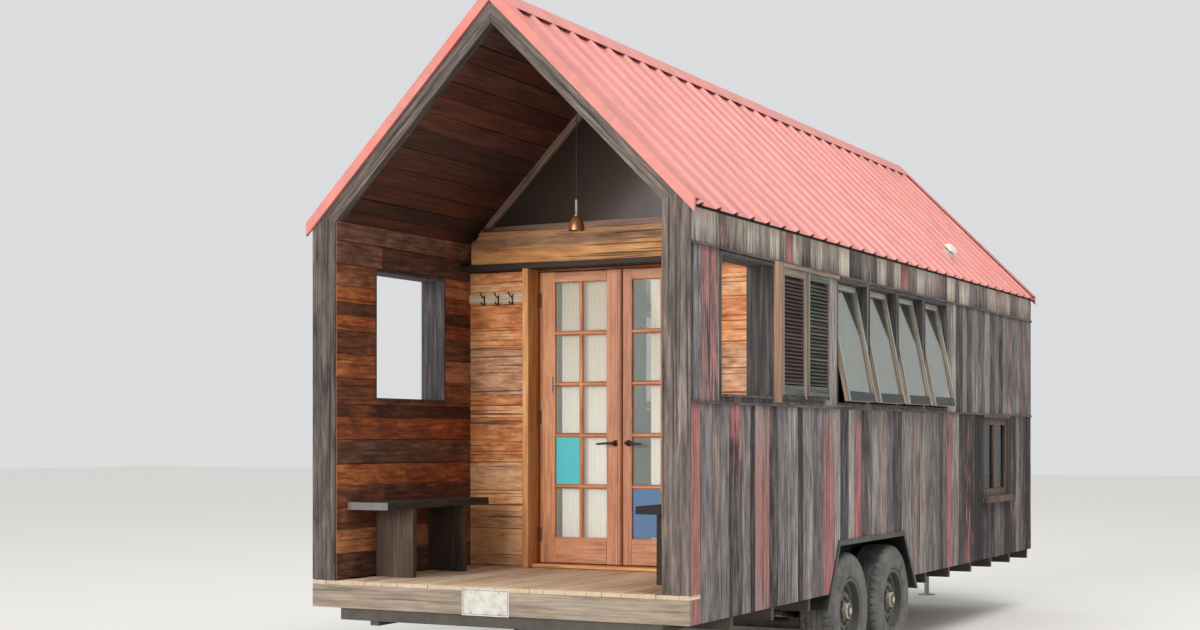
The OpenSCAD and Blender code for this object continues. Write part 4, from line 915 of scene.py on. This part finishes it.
# Each leaf's hinges, lever handle and curtain rod, measured outwards from where the leaves meet
for side, word in ((-1, "left"), (1, "right")):
    at = lambda u, out, z: (door["x"] + side * u, wallY - out, z)
    knuckles, plates, rod = [], [], []
    for z in door["hinges"]:
        for low in (-0.0453, 0.0153):
            knuckles.append(([at(door["pin"], 0.0075, z + low + h) for h in (0, 0.001, 0.029, 0.030)],
                             (0.005, 0.006, 0.006, 0.005)))
        x0, x1 = sorted(door["x"] + side * u for u in (0.5815, 0.5965))
        plates.append(beamBetween((x0, wallY - 0.0035, z - 0.045), (x1, wallY - 0.0002, z + 0.045), "z", (0.5, 0, 0),
                                  0.001))
    u, z = door["handleU"], door["handleZ"]
    lever = [([at(u, out, z) for out in (0.0002, 0.006, 0.010, 0.012)], (0.020, 0.020, 0.016, 0.010)),
             ([at(u, 0.010, z), at(u, 0.040, z), at(u + 0.002, 0.050, z), at(u + 0.016, 0.055, z),
               at(u + 0.06, 0.055, z - 0.002),
               at(u + 0.11, 0.053, z - 0.006), at(u + 0.113, 0.053, z - 0.006)],
               (0.009, 0.009, 0.009, 0.0085, 0.0075, 0.006, 0.003))]
    rod.append(([at(0.025, -0.057, 2.555), at(0.574, -0.057, 2.555)], 0.005))
    for v in (0.030, 0.569):
        rod.append(([at(v, -0.0402, 2.555), at(v, -0.0625, 2.555)], 0.0075))
    joinPlanks("hinge_plates_" + word, plates, hingeBronze, "door_" + word,
               ("door_hardware_" + word,), steps=2, wave=0)
    rods("hinge_knuckles_" + word, knuckles, hingeBronze, "door_" + word)
    rods("lever_handle_" + word, lever, ironBlack, "door_" + word, around=20)
    rods("curtain_rod_" + word, rod, paleMetal, "door_" + word)
latch = [([(-0.438, wallY - 0.006, z) for z in (1.817, 1.916)], 0.007),
         ([(x, wallY - 0.008, 1.866) for x in (-0.438, -0.392)], 0.004)]
rods("leaf_latch", latch, paleMetal, "door_left")


# A gathered curtain: depth is a sine of the width, whose reach grows towards the hem
def curtain(word, side, u0, u1):
    rise, across, folds, deep = 40, 160, 13, 0.0042
    low, high = 0.850, 2.549
    u, z = np.meshgrid(np.linspace(u0, u1, across), np.linspace(low, high, rise))
    phase = (u - u0) / (u1 - u0) * folds * 2 * np.pi + 0.5 * np.sin(z * 2.3)
    depth = deep * (0.75 + 0.25 * np.cos(z * 1.7)) * np.sin(phase)
    y = wallY + door["thick"] + 0.017 + depth
    spot = np.stack([door["x"] + side * u, y, z], -1).reshape(-1, 3)
    index = np.arange(rise * across).reshape(rise, across)
    faces = np.stack([index[:-1, :-1], index[:-1, 1:], index[1:, 1:], index[1:, :-1]], -1).reshape(-1, 4)
    mesh = newMesh("gathered_curtain_" + word, spot, (faces if side < 0 else faces[:, ::-1]).tolist())
    mesh.uv_layers.new(name="weave")
    obj = placeMesh("gathered_curtain_" + word, mesh, cloth, "door_" + word, ("curtain_" + word,),
                    smooth=True)


curtain("left", -1, 0.040, 0.462)
curtain("right", 1, 0.175, 0.558)

# Louvred shutters: grey stiles, rails at the foot and head, and tilted slats, dark red-brown in the
# first and grey-green in the second
print("making the windows")
shutter = dict(gap=0.015, face=0.032, stile=0.026, foot=0.060, head=0.042, slats=28, tilt=math.radians(46))
core, parts = house["coreX"], []
for side in (-1, 1):
    for number, hole in enumerate(holes["shutters"]):
        y0, y1 = hole[0] + shutter["gap"], hole[1] - shutter["gap"]
        z0, z1 = hole[2] + shutter["gap"], hole[3] - shutter["gap"]
        for ys in ((y0, y0 + shutter["stile"]), (y1 - shutter["stile"], y1)):
            parts.append(sideBeam(side, 0, (core, core + shutter["face"]), ys, (z0, z1), "z", (0.9, 0, 0)))
        for zs, tone in (((z0, z0 + shutter["foot"]), (0.3, 1, 0)),
                         ((z1 - shutter["head"], z1), (0.5 if number else 0.9, number, 0))):
            outs = (core, core + (shutter["face"] - 0.001))
            parts.append(sideBeam(side, 0, outs, (y0 + 0.02, y1 - 0.02), zs, "y", tone))
        first, rise = z0 + 0.070, (z1 - z0 - 0.122) / shutter["slats"]
        lean = (side * math.cos(shutter["tilt"]), 0, -math.sin(shutter["tilt"]))
        up = (side * math.sin(shutter["tilt"]), 0, math.cos(shutter["tilt"]))
        for i in range(shutter["slats"]):
            at = np.array((side * (house["coreX"] + 0.014), 0, first + (i + 0.5) * rise)) + 0.003 * np.array(up)
            parts.append(plank(at, (0, 1, 0), lean, up, timberSection(0.040, 0.006, 0.0015), porchY + y0 + 0.024,
                               porchY + y1 - 0.024, (chance.uniform(0.3, 0.6), 0, 0 if number else 1)))
    parts.append(sideBeam(side, 0, (core + 0.020, core + 0.028), (1.212, 2.038), (1.740, 1.756), "y", (0.05, 0, 0.5)))
joinPlanks("louvred_shutters", parts, shutterTimber, replaces=("shutters",), steps=3,
           wave=0.0006)

# Top-hung sashes. Each member has a face strip on a bare core, painted only on the foot rail; s runs down the sash
# from its hinges
sash = dict(inset=0.065, open=math.radians(11), width=0.550, height=0.780, stile=0.032, foot=0.062, head=0.035)
parts = []
for side in (-1, 1):
    down = np.array((side * math.sin(sash["open"]), 0, -math.cos(sash["open"])))
    face = np.array((side * math.cos(sash["open"]), 0, math.sin(sash["open"])))
    for hole in holes["awnings"]:
        y0 = porchY + hole[0] + 0.020
        hinge = np.array((side * (house["coreX"] - sash["inset"]), 0, hole[3] - 0.020))

        def member(a, b, s0, s1, upright, strip, core):
            for outer, inner, tone in ((0.015, 0.006, strip), (0.006, -0.020, core)):
                trim = 0.0 if outer > 0.01 else 0.0008
                section = timberSection((b - a if upright else s1 - s0) - 2 * trim, outer - inner, 0.0025)
                middle = hinge + face * outer
                if upright:
                    at = middle + np.array((0, (a + b) / 2, 0))
                    parts.append(plank(at, down, (0, 1, 0), face, section, s0 + trim, s1 - trim, tone))
                else:
                    at = middle + down * (s0 + s1) / 2
                    parts.append(plank(at, (0, 1, 0), -down, face, section, a + trim, b - trim, tone))

        w, h = sash["width"], sash["height"]
        for a in (y0, y0 + w - sash["stile"]):
            member(a, a + sash["stile"], 0, h, True, (0.55, 0, 0), (0.6, 0, 1.2))
        member(y0 + sash["stile"], y0 + w - sash["stile"], 0, sash["head"], False, (1.0, 0, 0), (0.6, 0, 1))
        member(y0 + sash["stile"], y0 + w - sash["stile"], h - sash["foot"], h, False, (0.5, 1, 0), (0.6, 0, 1))
        for y in (hole[0] + 0.085, hole[1] - 0.145):
            outs = [core - sash["inset"] + x for x in (-0.010, 0.006)]
            parts.append(sideBeam(side, 0, outs, (y, y + 0.060), (hole[3] - 0.027, hole[3] - 0.0155), "y",
                                  (0.1, 0, 0)))
joinPlanks("awning_joinery", parts, sashTimber, replaces=("awning_sashes",), steps=4, wave=0.0006)

# Trim boards beside the porch windows, and a dark strip under the edge of the roof sheet: painted shade
# where the sheet's edge shades the top of the boards
parts, eaves = [], []
for side in (-1, 1):
    for group, out, ys, zs, along, tone in (
        (parts, 0.012, (1.184, 1.304), (1.732, 2.562), "z", (0.55, 0, 1.2)),
        (parts, 0.008, (2.122, 2.142), (1.760, 2.562), "z", (0.5, 0, 0)),
        (parts, 0.008, (1.706, 1.728), (1.760, 2.562), "z", (0.55, 0, 0.2)),
        (parts, 0.014, (1.310, 2.300), (2.537, 2.562), "y", (0.6, 0, 0.3)),
        (eaves, 0.012, (0.022, 7.378), (2.752, 2.776), "y", (0.1, 0, 0)),
    ):
        group.append(sideBeam(side, 0, (house["halfW"] - 0.004, house["halfW"] + out), ys, zs, along, tone))
joinPlanks("window_trims", parts, trimTimber)
joinPlanks("eave_shade_strips", eaves, timber("eave_painted_shade", dict(cool=("#0e0b0a", "#1f1917", "#3a302b"), rough=0.9)),
           steps=20)

# Tyres. The tread's radius falls in four grooves round the tyre, a pair at each of the stated distances
# from its middle, and in short cuts across its shoulders
print("making the running gear")
tyre = dict(radius=0.385, width=0.235, out=1.085, grooves=(0.019, 0.054), depth=0.008, blocks=44, around=352)
wheels = {"rear": 2.607, "front": 3.513}


def smooth(value, low, high):
    t = np.clip((value - low) / (high - low), 0, 1)
    return t * t * (3 - 2 * t)


def treadedTyre(name, body, node, side, y):
    t = tyre["width"] / 2
    outer = [(0.203, t - 0.020), (0.2165, t - 0.020), (0.222, t - 0.012), (0.228, t - 0.004), (0.245, t - 0.001),
             (0.270, t), (0.290, t + 0.0),
             (0.296, t - 0.002), (0.310, t - 0.001), (0.325, t), (0.340, t - 0.004), (0.350, t - 0.008),
             (0.362, t - 0.012), (0.371, t - 0.019),
             (0.378, t - 0.026), (0.382, t - 0.034), (0.385, t - 0.042)]
    tread = [(0.385, w) for w in np.linspace(t - 0.047, -(t - 0.047), 41)]
    inner = [(0.368, t - 0.050), (0.352, t - 0.028), (0.320, t - 0.016), (0.260, t - 0.016), (0.222, t - 0.022),
             (0.203, t - 0.034)]
    turnBack = lambda points: [(r, -w) for r, w in points[::-1]]
    profile = np.array(outer + tread + turnBack(outer) + turnBack(inner) + inner)
    count, around = len(profile), tyre["around"]
    turn = np.linspace(0, 1, around, endpoint=False)[:, None]
    r, w = np.broadcast_to(profile[None, :, 0], (around, count)), profile[None, :, 1]
    onTread = smooth(r, 0.350, 0.372) * (np.arange(count) < len(outer) * 2 + len(tread))[None, :]
    nearest = np.min(np.abs(np.abs(w)[..., None] - np.array(tyre["grooves"])), axis=-1)
    ring = 1 - smooth(nearest, 0.0028, 0.0052)
    phase = (turn * tyre["blocks"] + 0.5 * (w > 0) + np.abs(w) * 3) % 1
    cut = (1 - smooth(np.abs(phase - 0.5), 0.07, 0.13)) * smooth(np.abs(w), 0.060, 0.064)
    sipe = 0.45 * (1 - smooth(np.abs((phase * 2) % 1 - 0.5), 0.05, 0.12)) * (np.abs(w) < 0.050)
    radius = r - tyre["depth"] * onTread * np.maximum(np.maximum(ring, cut), sipe)
    angle = turn * 2 * np.pi
    hub = np.array((side * tyre["out"], porchY + y, tyre["radius"]))
    spot = hub + np.stack([side * (w + 0 * angle), radius * np.sin(angle), radius * np.cos(angle)], -1)
    index = np.arange(around * count).reshape(around, count)
    nxt, beside = np.roll(index, -1, axis=0), np.roll(index, -1, axis=1)
    faces = np.stack([index, beside, np.roll(beside, -1, axis=0), nxt], -1).reshape(-1, 4)
    mesh = newMesh(name, spot.reshape(-1, 3), faces.tolist())
    faceOutwards(mesh)
    placeMesh(name, mesh, tyreRubber, body, (node,), smooth=True)


hubCap = [(0, 0.1155), (0.016, 0.115), (0.030, 0.112), (0.034, 0.107), (0.047, 0.106), (0.052, 0.103),
          (0.0535, 0.098),
          (0.0535, 0.074), (0, 0.074)]
for side, word in ((1, "right"), (-1, "left")):
    for axle, y in wheels.items():
        body = f"road_wheel_{axle}_{word}"
        treadedTyre(f"treaded_tyre_{axle}_{word}", body, f"tyre_{axle}_{word}", side, y)
        hub = (side * tyre["out"], porchY + y, tyre["radius"])
        turned(f"hub_cap_{axle}_{word}", hubCap, hub, (side, 0, 0), capMetal, body, around=40)

# Bare licence plate: a grey edge line and four bolts
plate = dict(left=-0.187, right=0.118, low=0.526, high=0.678, y=porchY - 0.003)
left, right, low, high = plate["left"] + 0.007, plate["right"] - 0.007, plate["low"] + 0.007, plate["high"] - 0.007
line = 0.003
edges = [beamBetween((x0, plate["y"] - 0.0008, z0), (x1, plate["y"] + 0.001, z1), "x", bevel=0.0002)
         for x0, z0, x1, z1 in ((left, low, right, low + line), (left, high - line, right, high),
                                (left, low, left + line, high), (right - line, low, right, high))]
joinPlanks("plate_edge", edges, plateGrey, steps=2, wave=0)
bolts = [([(x, plate["y"] + 0.001, z), (x, plate["y"] - 0.002, z), (x, plate["y"] - 0.003, z)], (0.006, 0.006, 0.003))
         for x in (plate["left"] + 0.06, plate["right"] - 0.06)
         for z in (plate["low"] + 0.018, plate["high"] - 0.018)]
rods("plate_bolts", bolts, zincMetal)

# Camera, light and floor
print("setting the stage")
camera = bpy.data.objects.new("camera", bpy.data.cameras.new("camera"))
camera.data.lens, camera.data.sensor_width = 53.36, 36.0
camera.data.shift_y = 0.1019
camera.location = (5.099, -12.854, 1.527)
camera.rotation_euler = (math.pi / 2, 0, math.radians(27.293))
bpy.context.scene.collection.objects.link(camera)
bpy.context.scene.camera = camera

floorMesh = newMesh("studio_floor", [(-60, -60, 0), (60, -60, 0), (60, 60, 0), (-60, 60, 0)], [(0, 1, 2, 3)])
floor = bpy.data.objects.new("studio_floor", floorMesh)
bpy.context.scene.collection.objects.link(floor)
floorMesh.materials.append(plainMaterial("studio_floor", 0.9, "#e3e1dc"))
floor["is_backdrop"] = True

world = bpy.data.worlds.new("studio")
bpy.context.scene.world = world
world.use_nodes = True
sky = world.node_tree.nodes["Background"]
sky.inputs["Color"].default_value = tint("#f1f3f5")
sky.inputs["Strength"].default_value = 0.80


def softLamp(name, kind, spot, target, power, colour, **shape):
    lamp = bpy.data.objects.new(name, bpy.data.lights.new(name, kind))
    lamp.data.energy, lamp.data.color = power, colour
    for key, value in shape.items():
        setattr(lamp.data, key, value)
    lamp.location = spot
    aim = np.array(target) - np.array(spot)
    lamp.rotation_euler = (math.atan2(math.hypot(aim[0], aim[1]), -aim[2]), 0, math.atan2(-aim[0], aim[1]))
    bpy.context.scene.collection.objects.link(lamp)


softLamp("porch_lamp", "SUN", (-4, -24.5, 5.2), (0, -3.5, 1.8), 2.65, (1.0, 0.97, 0.93), angle=0.54)
softLamp("high_lamp", "AREA", (7, -4, 16), (0, 0, 2), 1650, (1.0, 0.98, 0.96), size=8)
bpy.context.scene.view_settings.view_transform = "Standard"

low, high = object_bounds()
